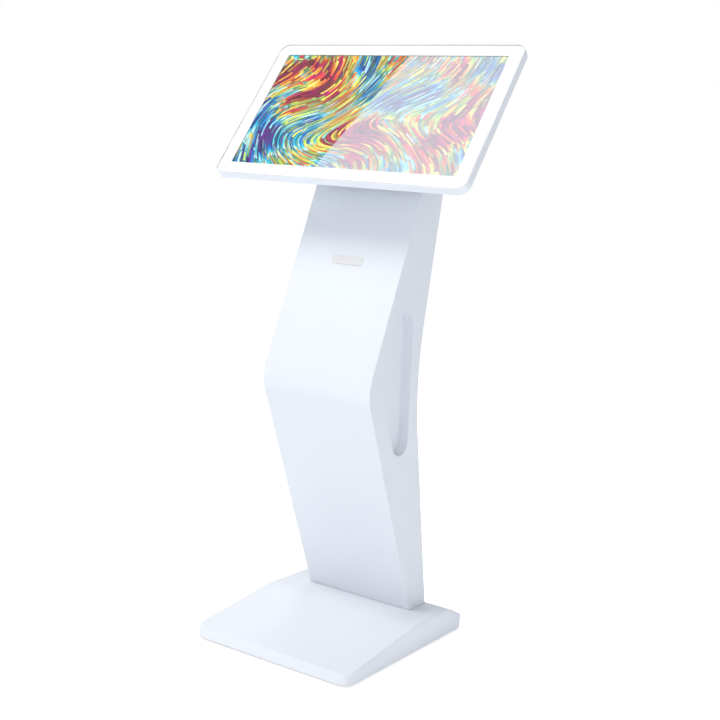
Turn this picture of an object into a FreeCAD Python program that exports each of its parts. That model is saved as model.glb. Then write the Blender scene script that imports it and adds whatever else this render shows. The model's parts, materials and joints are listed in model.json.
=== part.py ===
"""Free-standing touchscreen kiosk: weighted base, kneed sheet-metal column and tilted display head.

Millimetres, +Z up, front towards -Y. The origin is on the floor under the middle of the base.
Every sub-part is an object of its own and is written to parts/LABEL.step.
"""
import FreeCAD, Part
import math
import os

import Sketcher

SIZES = [
    # base
    ("base_beyond", 60, "base cover beyond the column, each side"),
    ("base_depth", 468, "base cover, front to back"),
    ("base_corner", 24, "plan radius of the base corners"),
    ("floor_gap", 5, "floor to the lower edge of the base cover"),
    ("front_edge", 21.5, "height of the cover's front edge"),
    ("rear_edge", 23, "height of the cover's rear edge"),
    ("base_rise", 55, "height of the cover's plateau above its lower edge"),
    ("plateau_front", 17, "where the long front slope ends"),
    ("plateau_rear", 163.5, "where the short rear slope starts"),
    ("front_bend", 220, "bend radius between the front slope and the plateau"),
    ("rear_bend", 55, "bend radius between the plateau and the rear slope"),
    ("cover_sheet", 2, "base cover sheet"),
    ("cover_round", 3, "rounding of the cover's upper edges"),
    ("plate_thick", 6, "steel base plate"),
    ("plate_lift", 3, "base plate above the cover's lower edge"),
    ("plate_fit", 1, "gap between base plate and cover"),
    ("cover_boss", 5, "radius of the cover's screw bosses"),
    ("boss_inset", 19, "cover boss from the base's side"),
    ("boss_y", 170, "cover boss from the middle, front and back"),
    ("anchor_x", 260, "anchor hole spacing across"),
    ("anchor_y", 220, "anchor hole spacing front to back"),
    ("anchor_mid", -60, "middle of the anchor holes"),
    ("anchor_hole", 5.5, "anchor hole radius"),
    # levelling feet
    ("foot_inset", 34, "foot from the base's side"),
    ("foot_y", 200, "foot from the middle, front and back"),
    ("pad_radius", 16, "foot pad"),
    ("pad_gap", 0.5, "pad top to base plate when screwed home"),
    ("stem_radius", 5, "foot stem, M10"),
    ("stem_top", 26, "top of the stem above the floor"),
    ("stem_neck", 4, "end of the stem held in the pad"),
    ("neck_depth", 2.5, "floor to the bottom of the pad's socket"),
    ("shaft_gap", 0.05, "running clearance of shafts and threads"),
    ("foot_nut", 17, "weld nut across flats"),
    ("foot_nut_tall", 7, "weld nut height"),
    # column
    ("column_width", 258, "column, side to side"),
    ("column_sheet", 1.5, "column sheet"),
    ("column_round", 1.2, "rounding of the column's long edges"),
    ("knee_y", -155.5, "knee, where the two front faces would meet"),
    ("knee_z", 546, "height of the knee"),
    ("knee_radius", 80, "outer bend at the knee"),
    ("front_lower_lean", 26.66, "lower front face from the vertical, degrees"),
    ("front_upper_lean", 19.55, "upper front face from the vertical, degrees"),
    ("bend_y", 27, "rear bend, where the two rear faces would meet"),
    ("bend_z", 558, "height of the rear bend"),
    ("bend_radius", 660, "outer bend of the rear panel"),
    ("rear_lower_lean", 14.63, "lower rear face from the vertical, degrees"),
    ("rear_upper_lean", 6.19, "upper rear face from the vertical, degrees"),
    ("cutout_gap", 0.6, "base cover to column"),
    ("flange_beyond", 11, "column foot flange beyond the column, each side"),
    ("flange_depth", 124, "column foot flange, front to back"),
    ("flange_thick", 6, "column foot flange"),
    ("flange_edge", 15, "flange bolts from the flange's edges"),
    ("bolt_radius", 5, "foot flange bolt, M10"),
    ("bolt_head", 17, "foot flange bolt head across flats"),
    ("bolt_head_tall", 6.4, "foot flange bolt head"),
    # side recesses
    ("recess_top", 701, "height of the recess's upper end"),
    ("recess_bottom", 409, "height of the recess's lower end"),
    ("recess_upper_margin", 38, "recess from the upper front face"),
    ("recess_lower_margin", 49, "recess from the lower front face"),
    ("recess_rear_margin", 48, "recess ends from the rear faces, level"),
    ("recess_corner", 27, "corner radius of the recess"),
    ("recess_knee", 62, "knee radius of the recess"),
    ("recess_depth", 22, "depth of the recess"),
    ("pan_sheet", 1.2, "recess pan sheet"),
    ("pan_flange", 9, "flange of the recess pan"),
    # badge and hatch
    ("badge_along", 265, "badge centre, up the front face from the knee"),
    ("badge_width", 70, "blank badge plate"),
    ("badge_height", 18, "blank badge plate"),
    ("badge_thick", 1.6, "blank badge plate"),
    ("badge_corner", 2, "blank badge plate"),
    ("trim_round", 0.5, "rounding of the badge's and the hatch's edges"),
    ("hatch_up", 330, "hatch centre, up the rear face from the bend"),
    ("hatch_width", 170, "rear hatch cover"),
    ("hatch_height", 110, "rear hatch cover"),
    ("hatch_thick", 1.5, "rear hatch cover"),
    ("hatch_lap", 12, "hatch cover over its opening"),
    # rear door
    ("door_down", 140, "upper edge of the door, down the rear face from the bend"),
    ("door_width", 200, "rear door"),
    ("door_height", 270, "rear door"),
    ("door_gap", 1.5, "gap round the door"),
    ("door_return", 12, "depth of the door's folded edges"),
    ("door_corner", 3, "door corners"),
    ("frame_border", 14, "door frame's flange"),
    ("frame_lip", 8, "door frame's stop"),
    ("frame_depth", 15.5, "door frame, from the outer face inwards"),
    ("seal_thick", 1.6, "foam seal on the stop"),
    ("hinge_inset", 30, "hinge middle from the door's ends"),
    ("hinge_long", 50, "hinge barrel"),
    ("hinge_barrel", 3.2, "hinge barrel radius"),
    ("hinge_pin", 1.5, "hinge pin radius"),
    ("hinge_rise", 3.5, "hinge axis above the door's face"),
    ("leaf_width", 20, "hinge leaf"),
    ("leaf_thick", 1.2, "hinge leaf"),
    ("knuckle_gap", 0.4, "between hinge knuckles"),
    # cam lock
    ("lock_x", 75, "lock from the middle of the door"),
    ("lock_barrel", 9, "lock barrel radius"),
    ("lock_flange", 12, "lock flange radius"),
    ("lock_flange_thick", 2, "lock flange"),
    ("lock_depth", 14, "lock barrel inside the door's face"),
    ("lock_plug", 6, "lock plug radius"),
    ("lock_nut", 14, "lock nut radius"),
    ("lock_nut_thick", 4, "lock nut"),
    ("cam_long", 34, "cam, from its axis to its tip"),
    ("cam_half", 8, "half the cam's width"),
    ("cam_thick", 3, "cam"),
    # power inlet and switch
    ("inlet_down", 456, "power inlet centre, down the rear face from the bend"),
    ("inlet_x", -30, "power inlet from the middle"),
    ("inlet_width", 50, "inlet flange"),
    ("inlet_height", 26, "inlet flange"),
    ("inlet_flange", 2.5, "inlet flange thickness"),
    ("inlet_body_width", 28, "inlet body"),
    ("inlet_body_height", 20, "inlet body"),
    ("inlet_body_deep", 18, "inlet body behind the panel"),
    ("inlet_wall", 2, "wall of the inlet"),
    ("inlet_pin_long", 11, "contact pins"),
    ("inlet_pin_wide", 2, "contact pins"),
    ("inlet_pin_tall", 5, "contact pins"),
    ("inlet_pin_pitch", 7, "between contact pins"),
    ("inlet_pin_step", 2, "outer pins above and the middle pin below the centre"),
    ("inlet_screw_x", 20, "inlet screws from the inlet's middle"),
    ("rocker_x", 30, "rocker switch from the middle"),
    ("rocker_width", 15, "rocker frame, side to side"),
    ("rocker_height", 23, "rocker frame, top to bottom"),
    ("rocker_rim", 2, "rocker frame's rim and walls"),
    ("rocker_deep", 14, "rocker body behind the panel"),
    ("rocker_tilt", 8, "rocker's tilt each way, degrees"),
    ("rocker_gap", 0.5, "round the rocker"),
    ("rocker_rise", 2.4, "rocker's ends above the panel, untilted"),
    ("rocker_dip", 1.2, "rocker's middle above the panel"),
    ("rocker_drop", 5, "rocker's underside below the panel"),
    # supply box and lead
    ("box_width", 120, "supply junction box"),
    ("box_deep", 32, "supply junction box"),
    ("box_tall", 56, "supply junction box"),
    ("box_y", 130, "supply junction box, middle"),
    ("lead_x", -50, "supply lead from the middle"),
    ("lead_radius", 4, "supply lead"),
    # display head
    ("head_tilt", 55, "screen from the horizontal, degrees"),
    ("head_y", -51.5, "centre of the glass"),
    ("head_z", 1099, "centre of the glass"),
    ("screen_w", 527.0, "active picture"),
    ("screen_h", 296.5, "active picture"),
    ("glass_margin", 29.25, "glass round the picture"),
    ("glass_corner", 20, "glass corner radius"),
    ("glass_thick", 3, "cover glass"),
    ("glass_gap", 0.25, "glass to frame"),
    ("frame_wall", 1.8, "head frame wall"),
    ("frame_deep", 18, "head frame depth"),
    ("frame_round", 1.2, "rounding of the head frame's edges"),
    ("ledge_wide", 14, "ledge behind the glass"),
    ("ledge_thick", 1.5, "ledge behind the glass"),
    ("tape_thick", 1.5, "bonding tape on the ledge"),
    ("print_thick", 0.3, "white border printed behind the glass"),
    ("print_reveal", 1, "border's window round the picture"),
    ("sensor_thick", 1.1, "touch sensor"),
    ("sensor_wide", 14, "sensor beyond the picture"),
    ("cell_thick", 1.5, "display cell"),
    ("cell_wide", 5, "cell beyond the picture"),
    ("module_wide", 9, "display module beyond the picture"),
    ("module_wall", 0.8, "module bezel and tray"),
    ("module_rear", 16.2, "module's rear face behind the glass front"),
    ("window_w", 505, "opening in the frame's rear flange"),
    ("window_h", 275, "opening in the frame's rear flange"),
    ("cover_w", 540, "rear cover"),
    ("cover_h", 310, "rear cover"),
    ("cover_rear", 60, "rear cover's back behind the glass front"),
    ("cover_skin", 1.2, "rear cover sheet"),
    ("cover_corner", 24, "rear cover corners"),
    ("cover_slope", 14, "chamfer round the rear cover's back"),
    ("cover_lap", 11, "rear cover's screw flange"),
    ("hump_beyond", 21, "raised middle of the rear cover beyond the column, each side"),
    ("hump_h", 224, "raised middle of the rear cover"),
    ("hump_rear", 100, "raised middle behind the glass front"),
    ("vent_long", 46, "vent slots of the rear cover"),
    ("vent_tall", 3.4, "vent slots of the rear cover"),
    ("vent_pitch", 8, "between vent slots"),
    ("vent_count", 8, "vent slots each side"),
    ("mount_plate", 4, "steel plate that carries the head"),
    ("top_plate", 6, "column's top plate"),
    ("head_bolt_x", 90, "head bolts from the middle"),
    ("head_bolt_low", 0, "lower head bolts, up the screen"),
    ("head_bolt_high", 64, "upper head bolts, up the screen"),
    ("head_bolt", 4, "head bolt radius, M8"),
    ("head_bolt_head", 13, "head bolt across flats"),
    ("spine_x", 118, "spine rails from the middle"),
    ("spine_thick", 3, "spine rails"),
    ("lead_hole", 9, "lead hole in the top plate"),
    ("lead_hole_up", 32, "lead hole, up the screen"),
    ("screw_radius", 2, "panel screws, M4"),
    ("screw_gap", 0.2, "holes round the panel screws"),
    ("screw_head", 3.6, "panel screw heads"),
    ("screw_head_thick", 1.8, "panel screw heads"),
    ("board_w", 150, "main board"),
    ("board_h", 100, "main board"),
    ("board_x", 5, "main board from the middle"),
    ("board_y", -40, "main board, up the screen"),
    ("board_front", 58.4, "main board's front face behind the glass front"),
    ("board_thick", 1.6, "main board"),
    ("board_parts", 8.4, "tallest parts on the main board"),
    ("supply_w", 100, "power supply"),
    ("supply_h", 150, "power supply"),
    ("supply_deep", 30, "power supply"),
    ("supply_x", -200, "power supply from the middle"),
    ("supply_y", -10, "power supply, up the screen"),
    ("speaker_w", 76, "speaker"),
    ("speaker_h", 36, "speaker"),
    ("speaker_deep", 20, "speaker"),
    ("speaker_up", 34, "speakers above the rear cover's lower edge"),
    ("speaker_gap", 2, "speakers behind the frame"),
    ("speaker_cone", 14, "speaker's cone radius"),
    ("speaker_well", 6, "depth of the speaker's open back"),
    ("speaker_magnet", 6, "radius of the speaker's magnet"),
    ("key_x", 240, "power key from the middle"),
    ("key_y", -90, "power key, up the screen"),
    ("key_radius", 5, "power key"),
    ("key_proud", 2, "power key outside the cover"),
    ("key_gap", 0.3, "round the power key"),
    ("key_round", 0.6, "rounding of the power key"),
    ("key_collar", 1.5, "collar that keeps the key in, beyond its radius and thick"),
    ("key_play", 0.1, "collar to the cover"),
    ("fan_x", 205, "fan from the middle"),
    ("fan_y", 60, "fan, up the screen"),
    ("fan_side", 60, "fan frame"),
    ("fan_deep", 15, "fan frame"),
    ("fan_bore", 28.5, "fan opening radius"),
    ("fan_tip", 27.5, "blade tip radius"),
    ("fan_hub", 12, "hub radius"),
    ("fan_corner", 4, "fan frame corners"),
    ("fan_arm", 3, "arms that hold the hub"),
    ("fan_arm_thick", 2, "arms that hold the hub"),
    ("fan_axle", 2, "fan axle radius"),
    ("fan_play", 0.6, "rotor to the arms"),
]

DOC = FreeCAD.newDocument("touchscreen_kiosk")
SHEET = DOC.addObject("Spreadsheet::Sheet", "D")
VECTOR = FreeCAD.Vector
PIECES = []


def fill_sheet():
    """Write the driving sizes to the sheet, one row each: note, value and alias."""
    for row, (alias, value, note) in enumerate(SIZES, start=1):
        SHEET.set(f"A{row}", note)
        SHEET.set(f"B{row}", str(value))
        SHEET.setAlias(f"B{row}", alias)
    DOC.recompute()


def num(expression):
    """Value of an expression over the sheet, in millimetres or degrees."""
    result = SHEET.evalExpression(str(expression))
    return float(getattr(result, "Value", result))


# Frames that pieces are drawn in: turn about X, then the place of the frame's origin.
FRAMES = {
    "world": None,
    # x right, y up the screen, z out of the glass
    "head": ("D.head_tilt", "D.head_y", "D.head_z"),
    # x right, y down the lower rear face, z outwards
    "rear": ("D.rear_lower_lean - 90", "D.bend_y", "D.bend_z"),
    # x right, y down the upper rear face, z outwards
    "hatch": ("-90 - D.rear_upper_lean", "D.bend_y", "D.bend_z"),
    # x right, y up the upper front face, z outwards
    "front": ("90 - D.front_upper_lean", "D.knee_y", "D.knee_z"),
}


def place(item, frame):
    """Bind an object's Placement to one of the frames."""
    if FRAMES[frame] is None:
        return
    turn, base_y, base_z = FRAMES[frame]
    item.Placement = FreeCAD.Placement(VECTOR(), FreeCAD.Rotation(VECTOR(1, 0, 0), 10))
    item.setExpression("Placement.Rotation.Angle", turn)
    item.setExpression("Placement.Base.y", base_y)
    item.setExpression("Placement.Base.z", base_z)


class Outline:
    """A closed loop of straight sides, some of its corners rounded."""

    def __init__(self, points, radii=None):
        self.points = points
        self.radii = radii or [None] * len(points)


class Ring:
    """A circle."""

    def __init__(self, x, y, radius):
        self.centre = (x, y)
        self.radius = radius


def rect(x0, y0, x1, y1, radius=None):
    """Rectangle between two corners, all four corners with one radius."""
    return Outline([(x0, y0), (x1, y0), (x1, y1), (x0, y1)], [radius] * 4)


def centred(width, height, radius=None, x="0", y="0"):
    """Rectangle by its size and centre."""
    half_w, half_h = f"({width})/2", f"({height})/2"
    return rect(f"{x} - {half_w}", f"{y} - {half_h}", f"{x} + {half_w}", f"{y} + {half_h}", radius)


def hexagon(x, y, across):
    """Hexagon by its centre and its width across flats."""
    reach = f"({across})/2/cos(30)"
    return Outline([(f"{x} + {reach}*cos({60 * i})", f"{y} + {reach}*sin({60 * i})") for i in range(6)])


def corner_arc(before, corner, after, radius):
    """Ends of a corner's tangent arc, the arc, and whether it starts on the first side."""
    back, ahead = (before - corner).normalize(), (after - corner).normalize()
    half = back.getAngle(ahead)/2
    enter = corner + back*(radius/math.tan(half))
    leave = corner + ahead*(radius/math.tan(half))
    centre = corner + (back + ahead).normalize()*(radius/math.sin(half))
    starts_first = back.cross(ahead).z < 0
    start, end = (enter, leave) if starts_first else (leave, enter)
    angles = [math.atan2(p.y - centre.y, p.x - centre.x) for p in (start, end)]
    if angles[1] < angles[0]:
        angles[1] += 2*math.pi
    circle = Part.Circle(centre, VECTOR(0, 0, 1), radius)
    return enter, leave, (Part.ArcOfCircle(circle, *angles), starts_first)


class Piece:
    """One sub-part: a PartDesign body built from prisms in one of the frames."""

    # plane: its role, the axis it is drawn across, and whether its normal runs against that axis
    PLANES = {"XY": ("XY_Plane", 2, False), "YZ": ("YZ_Plane", 0, False), "XZ": ("XZ_Plane", 1, True)}

    def __init__(self, label, frame="world"):
        self.body = DOC.addObject("PartDesign::Body", label)
        self.body.Label = label
        self.body.AllowCompound = True
        place(self.body, frame)
        self.count = 0
        PIECES.append(self.body)

    def name(self, stem):
        """Fresh object name for the next feature."""
        self.count += 1
        return f"{self.body.Label}_{stem}_{self.count}"

    def finish_feature(self, feature):
        """Make a feature the tip and bring the model up to date."""
        self.body.Tip = feature
        DOC.recompute()
        return feature

    def pin(self, sketch, geo, pos, x, y):
        """Hold a sketch point at two expressions."""
        for kind, expression in (("DistanceX", x), ("DistanceY", y)):
            rule = Sketcher.Constraint(kind, -1, 1, geo, pos, num(expression))
            sketch.setExpression(f"Constraints[{sketch.addConstraint(rule)}]", expression)

    def sketch(self, loops, low, plane):
        """Sketch with every point and radius bound to the sheet."""
        role, _, flipped = self.PLANES[plane]
        support = next(f for f in self.body.Origin.OriginFeatures if f.Role == role)
        sketch = self.body.newObject("Sketcher::SketchObject", self.name("sketch"))
        sketch.AttachmentSupport = [(support, "")]
        sketch.MapMode = "FlatFace"
        sketch.setExpression("AttachmentOffset.Base.z", f"-({low})" if flipped else low)
        for loop in loops:
            first = sketch.GeometryCount
            if isinstance(loop, Ring):
                x, y = (num(v) for v in loop.centre)
                sketch.addGeometry(Part.Circle(VECTOR(x, y, 0), VECTOR(0, 0, 1), num(loop.radius)))
                self.pin(sketch, first, 3, *loop.centre)
                rule = sketch.addConstraint(Sketcher.Constraint("Radius", first, num(loop.radius)))
                sketch.setExpression(f"Constraints[{rule}]", loop.radius)
                continue
            self.trace(sketch, loop)
        return sketch

    def trace(self, sketch, loop):
        """Draw an outline; a rounded corner is a tangent arc whose sides aim at the sharp corner."""
        corners = [VECTOR(num(x), num(y), 0) for x, y in loop.points]
        total = len(corners)
        enter, leave, arcs = list(corners), list(corners), {}
        for i, radius in enumerate(loop.radii):
            if radius is not None:
                enter[i], leave[i], arcs[i] = corner_arc(corners[i - 1], corners[i],
                                                         corners[(i + 1) % total], num(radius))
        first = sketch.GeometryCount
        for i in range(total):
            sketch.addGeometry(Part.LineSegment(leave[i], enter[(i + 1) % total]))
        for i, (x, y) in enumerate(loop.points):
            before, after = first + (i - 1) % total, first + i
            if i not in arcs:
                sketch.addConstraint(Sketcher.Constraint("Coincident", before, 2, after, 1))
                self.pin(sketch, after, 1, x, y)
                continue
            arc, starts_first = arcs[i]
            bend = sketch.addGeometry(arc)
            sketch.addConstraint(Sketcher.Constraint("Tangent", before, 2, bend, 1 if starts_first else 2))
            sketch.addConstraint(Sketcher.Constraint("Tangent", after, 1, bend, 2 if starts_first else 1))
            rule = sketch.addConstraint(Sketcher.Constraint("Radius", bend, num(loop.radii[i])))
            sketch.setExpression(f"Constraints[{rule}]", loop.radii[i])
            sharp = sketch.addGeometry(Part.Point(corners[i]), True)
            self.pin(sketch, sharp, 1, x, y)
            for side in (before, after):
                sketch.addConstraint(Sketcher.Constraint("PointOnObject", sharp, 1, side))

    def prism(self, loops, low, high, plane="XY", cut=False):
        """Add or cut the prism between two levels on a plane."""
        kind = "PartDesign::Pocket" if cut else "PartDesign::Pad"
        before = self.body.Shape.Volume if self.count else 0.0
        sketch = self.sketch(loops, low, plane)
        feature = self.body.newObject(kind, self.name("pocket" if cut else "pad"))
        feature.Profile = (sketch, [""])
        feature.Reversed = cut != self.PLANES[plane][2]
        feature.setExpression("Length", f"({high}) - ({low})")
        self.finish_feature(feature)
        change = self.body.Shape.Volume - before
        if (change >= 0) if cut else (change <= 0):
            raise RuntimeError(f"{feature.Name} changed the volume by {change:.1f}")
        return feature

    def cut(self, loops, low, high, plane="XY"):
        """Cut a prism."""
        return self.prism(loops, low, high, plane, cut=True)

    def dress(self, kind, size_name, size, chosen):
        """Fillet or chamfer the edges of the tip that a test picks."""
        tip = self.body.Tip
        names = [f"Edge{i}" for i, edge in enumerate(tip.Shape.Edges, start=1) if chosen(edge)]
        if not names:
            raise RuntimeError(f"{self.body.Label}: no edge for {kind}")
        feature = self.body.newObject(kind, self.name("dress"))
        feature.Base = (tip, names)
        feature.setExpression(size_name, size)
        return self.finish_feature(feature)

    def fillet(self, radius, chosen):
        """Round chosen edges."""
        return self.dress("PartDesign::Fillet", "Radius", radius, chosen)

    def outer_loop(self, height):
        """Test for the edges round the outside of the faces at one height."""
        faces = [face for face in self.body.Tip.Shape.Faces if flat_face(height)(face)]
        rim = [edge for face in faces for edge in face.OuterWire.Edges]
        return lambda edge: any(edge.isSame(other) for other in rim)

    def chamfer(self, size, chosen):
        """Bevel chosen edges."""
        return self.dress("PartDesign::Chamfer", "Size", size, chosen)

    def shell(self, wall, open_face):
        """Hollow the tip inwards, leaving out the faces that a test picks."""
        tip = self.body.Tip
        names = [f"Face{i}" for i, face in enumerate(tip.Shape.Faces, start=1) if open_face(face)]
        feature = self.body.newObject("PartDesign::Thickness", self.name("shell"))
        feature.Base = (tip, names)
        feature.Reversed = True
        feature.setExpression("Value", wall)
        return self.finish_feature(feature)


def level(height, tolerance=0.01):
    """Test for edges that lie all along one height of the piece's own frame."""
    def chosen(edge):
        box = edge.BoundBox
        return abs(box.ZMin - height) < tolerance and abs(box.ZMax - height) < tolerance
    return chosen


def flat_face(height):
    """Test for the faces that lie at one height of the piece's own frame."""
    def chosen(face):
        box = face.BoundBox
        return box.ZLength < 0.001 and abs(box.ZMin - height) < 0.01
    return chosen


class Slope:
    """A straight line in the side view, y as a function of z, kept as expressions."""

    def __init__(self, y, z, rate):
        self.y, self.z, self.rate = y, z, rate

    def at(self, z):
        """Expression for y at a height."""
        return f"({self.y} + (({z}) - {self.z})*({self.rate}))"

    def meet(self, other):
        """Expressions for the point where two lines cross."""
        z = f"(({other.at('0')} - {self.at('0')})/(({self.rate}) - ({other.rate})))"
        return self.at(z), z


def front_lower(inset="0"):
    """Lower front face, moved inwards by a thickness."""
    shift = f"(D.knee_y + ({inset})/cos(D.front_lower_lean))"
    return Slope(shift, "D.knee_z", "-tan(D.front_lower_lean)")


def front_upper(inset="0"):
    """Upper front face, moved inwards by a thickness."""
    shift = f"(D.knee_y + ({inset})/cos(D.front_upper_lean))"
    return Slope(shift, "D.knee_z", "tan(D.front_upper_lean)")


def rear_lower(inset="0"):
    """Lower rear face, moved inwards by a thickness."""
    shift = f"(D.bend_y - ({inset})/cos(D.rear_lower_lean))"
    return Slope(shift, "D.bend_z", "-tan(D.rear_lower_lean)")


def rear_upper(inset="0"):
    """Upper rear face, moved inwards by a thickness."""
    shift = f"(D.bend_y - ({inset})/cos(D.rear_upper_lean))"
    return Slope(shift, "D.bend_z", "tan(D.rear_upper_lean)")


def behind_glass(depth):
    """Plane at a depth behind the glass front, as a line in the side view."""
    y = f"(D.head_y + ({depth})*sin(D.head_tilt))"
    z = f"(D.head_z - ({depth})*cos(D.head_tilt))"
    return Slope(y, z, "1/tan(D.head_tilt)")


def up_screen(line, depth):
    """How far up the screen a side-view line crosses the plane at a depth."""
    z = line.meet(behind_glass(depth))[1]
    return f"(({z} - (D.head_z - ({depth})*cos(D.head_tilt)))/sin(D.head_tilt))"


PLATE_LOW = "(D.floor_gap + D.plate_lift)"
PLATE_TOP = f"({PLATE_LOW} + D.plate_thick)"
FLANGE_TOP = f"({PLATE_TOP} + D.flange_thick)"
ROOF = "(D.floor_gap + D.base_rise)"
FLANGE_MID = f"(({front_lower().at(FLANGE_TOP)} + {rear_lower().at(FLANGE_TOP)})/2)"
HALF = "D.column_width/2"
SIGNS = (-1, 1)
CORNERS = [("front_left", -1, -1), ("front_right", 1, -1), ("rear_left", -1, 1), ("rear_right", 1, 1)]


FLANGE_W = "(D.column_width + 2*D.flange_beyond)"
BASE_HALF = "(D.column_width/2 + D.base_beyond)"
FOOT_X = f"({BASE_HALF} - D.foot_inset)"
HUMP_W = "(D.column_width + 2*D.hump_beyond)"


def flange_bolts():
    """Places of the six bolts through the column's foot flange."""
    side = f"({FLANGE_W}/2 - D.flange_edge)"
    row = "(D.flange_depth/2 - D.flange_edge)"
    return [(f"{i}*{side}", f"{FLANGE_MID} + {j}*{row}") for i in (-1, 0, 1) for j in SIGNS]


def anchors():
    """Places of the four floor anchor holes."""
    return [(f"{i}*D.anchor_x/2", f"D.anchor_mid + {j}*D.anchor_y/2") for i in SIGNS for j in SIGNS]


def feet():
    """Places of the four levelling feet."""
    return [(f"{i}*{FOOT_X}", f"{j}*D.foot_y") for _, i, j in CORNERS]


def bosses():
    """Places of the base cover's screw bosses."""
    return [(f"{i}*({BASE_HALF} - D.boss_inset)", f"{j}*D.boss_y") for i in SIGNS for j in SIGNS]


def rings(places, radius):
    """One circle at each place."""
    return [Ring(x, y, radius) for x, y in places]


# ---------------------------------------------------------------- base

def base_cover():
    """Folded cover: long front slope, plateau, short rear slope, cut out for the column."""
    piece = Piece("base_cover")
    half = "D.base_depth/2"
    low = "D.floor_gap"
    profile = Outline([
        (f"-{half}", low), (half, low), (half, f"{low} + D.rear_edge"), ("D.plateau_rear", ROOF),
        ("D.plateau_front", ROOF), (f"-{half}", f"{low} + D.front_edge")],
        [None, None, None, "D.rear_bend", "D.front_bend", None])
    piece.prism([profile], f"-{BASE_HALF}", BASE_HALF, plane="YZ")
    reach_x, reach_y = num(BASE_HALF), num(half)

    def corner(edge):
        middle = edge.CenterOfMass
        upright = edge.BoundBox.XLength < 0.01 and edge.BoundBox.YLength < 0.01
        return upright and abs(abs(middle.x) - reach_x) < 0.01 and abs(abs(middle.y) - reach_y) < 0.01

    def upper_rim(edge):
        box = edge.BoundBox
        inside_x = abs(edge.CenterOfMass.x) < reach_x - num("D.base_corner")
        rim = abs(abs(edge.CenterOfMass.y) - reach_y) < 0.01 or not inside_x
        return box.ZMin > num(low) + 1 and rim and not (box.XLength < 0.01 and box.YLength < 0.01)

    piece.fillet("D.base_corner", corner)
    piece.fillet("D.cover_round", upper_rim)
    piece.shell("D.cover_sheet", flat_face(num(low)))
    under = f"{ROOF} - D.cover_sheet"
    cutout = rect(f"-({HALF} + D.cutout_gap)", f"{front_lower().at(ROOF)} - D.cutout_gap",
                  f"{HALF} + D.cutout_gap", f"{rear_lower().at(under)} + D.cutout_gap")
    piece.cut([cutout], f"{under} - 1", f"{ROOF} + 1")
    front = Slope("-D.base_depth/2", "D.floor_gap + D.front_edge",
                  "(D.plateau_front + D.base_depth/2)/(D.base_rise - D.front_edge)")
    roof_front = f"(D.floor_gap + D.front_edge + (D.base_depth/2 - D.boss_y)/({front.rate}))"
    front_bosses = [p for p in bosses() if p[1].startswith("-")]
    piece.prism(rings(front_bosses, "D.cover_boss"), PLATE_TOP, f"{roof_front} - D.cover_sheet/2")
    rear_bosses = [p for p in bosses() if not p[1].startswith("-")]
    rear = Slope("D.base_depth/2", "D.floor_gap + D.rear_edge",
                 "(D.plateau_rear - D.base_depth/2)/(D.base_rise - D.rear_edge)")
    far = "(D.boss_y + D.cover_boss - D.base_depth/2)"
    roof_rear = f"(D.floor_gap + D.rear_edge + {far}/({rear.rate}))"
    piece.prism(rings(rear_bosses, "D.cover_boss"), PLATE_TOP, f"{roof_rear} - D.cover_sheet/2")
    piece.cut(rings(bosses(), "D.screw_radius + D.shaft_gap"), f"{PLATE_TOP} - 1", f"{PLATE_TOP} + 9")


def base_plate():
    """Steel plate inside the cover, with foot, flange bolt, anchor and cover screw holes."""
    piece = Piece("base_plate")
    inset = "(D.cover_sheet + D.plate_fit)"
    piece.prism([centred(f"2*{BASE_HALF} - 2*{inset}", f"D.base_depth - 2*{inset}",
                         f"D.base_corner - {inset}")], PLATE_LOW, PLATE_TOP)
    holes = rings(feet(), "D.stem_radius + D.shaft_gap")
    holes += rings(flange_bolts(), "D.bolt_radius + D.shaft_gap")
    holes += rings(anchors(), "D.anchor_hole")
    holes += rings(bosses(), "D.screw_radius + 0.3")
    piece.cut(holes, f"{PLATE_LOW} - 1", f"{PLATE_TOP} + 1")


def base_hardware():
    """Cover screws, foot weld nuts and column flange bolts."""
    screws = Piece("cover_screws")
    screws.prism(rings(bosses(), "D.screw_head"), f"{PLATE_LOW} - D.screw_head_thick", PLATE_LOW)
    screws.prism(rings(bosses(), "D.screw_radius"), PLATE_LOW, f"{PLATE_TOP} + 8")
    nuts = Piece("foot_weld_nuts")
    loops = [hexagon(x, y, "D.foot_nut") for x, y in feet()]
    nuts.prism(loops, PLATE_TOP, f"{PLATE_TOP} + D.foot_nut_tall")
    nuts.cut(rings(feet(), "D.stem_radius + D.shaft_gap"), PLATE_TOP, f"{PLATE_TOP} + D.foot_nut_tall")
    bolts = Piece("flange_bolts")
    bolts.prism(rings(flange_bolts(), "D.bolt_radius"), PLATE_LOW, FLANGE_TOP)
    heads = [hexagon(x, y, "D.bolt_head") for x, y in flange_bolts()]
    bolts.prism(heads, FLANGE_TOP, f"{FLANGE_TOP} + D.bolt_head_tall")


def levelling_feet():
    """Four feet: a pad that travels and a threaded stem that turns in it."""
    pad_top = f"({PLATE_LOW} - D.pad_gap)"
    for name, i, j in CORNERS:
        x, y = f"{i}*{FOOT_X}", f"{j}*D.foot_y"
        pad = Piece(f"foot_pad_{name}")
        pad.prism([Ring(x, y, "D.pad_radius")], "0", pad_top)
        pad.fillet("1.2", level(num(pad_top)))
        pad.cut([Ring(x, y, "D.stem_neck + D.shaft_gap")], "D.neck_depth", pad_top)
        stem = Piece(f"foot_stem_{name}")
        stem.prism([Ring(x, y, "D.stem_neck")], "D.neck_depth + D.shaft_gap", pad_top)
        stem.prism([Ring(x, y, "D.stem_radius")], pad_top, "D.stem_top")
        stem.chamfer("0.8", level(num("D.stem_top")))


# ---------------------------------------------------------------- column

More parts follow.
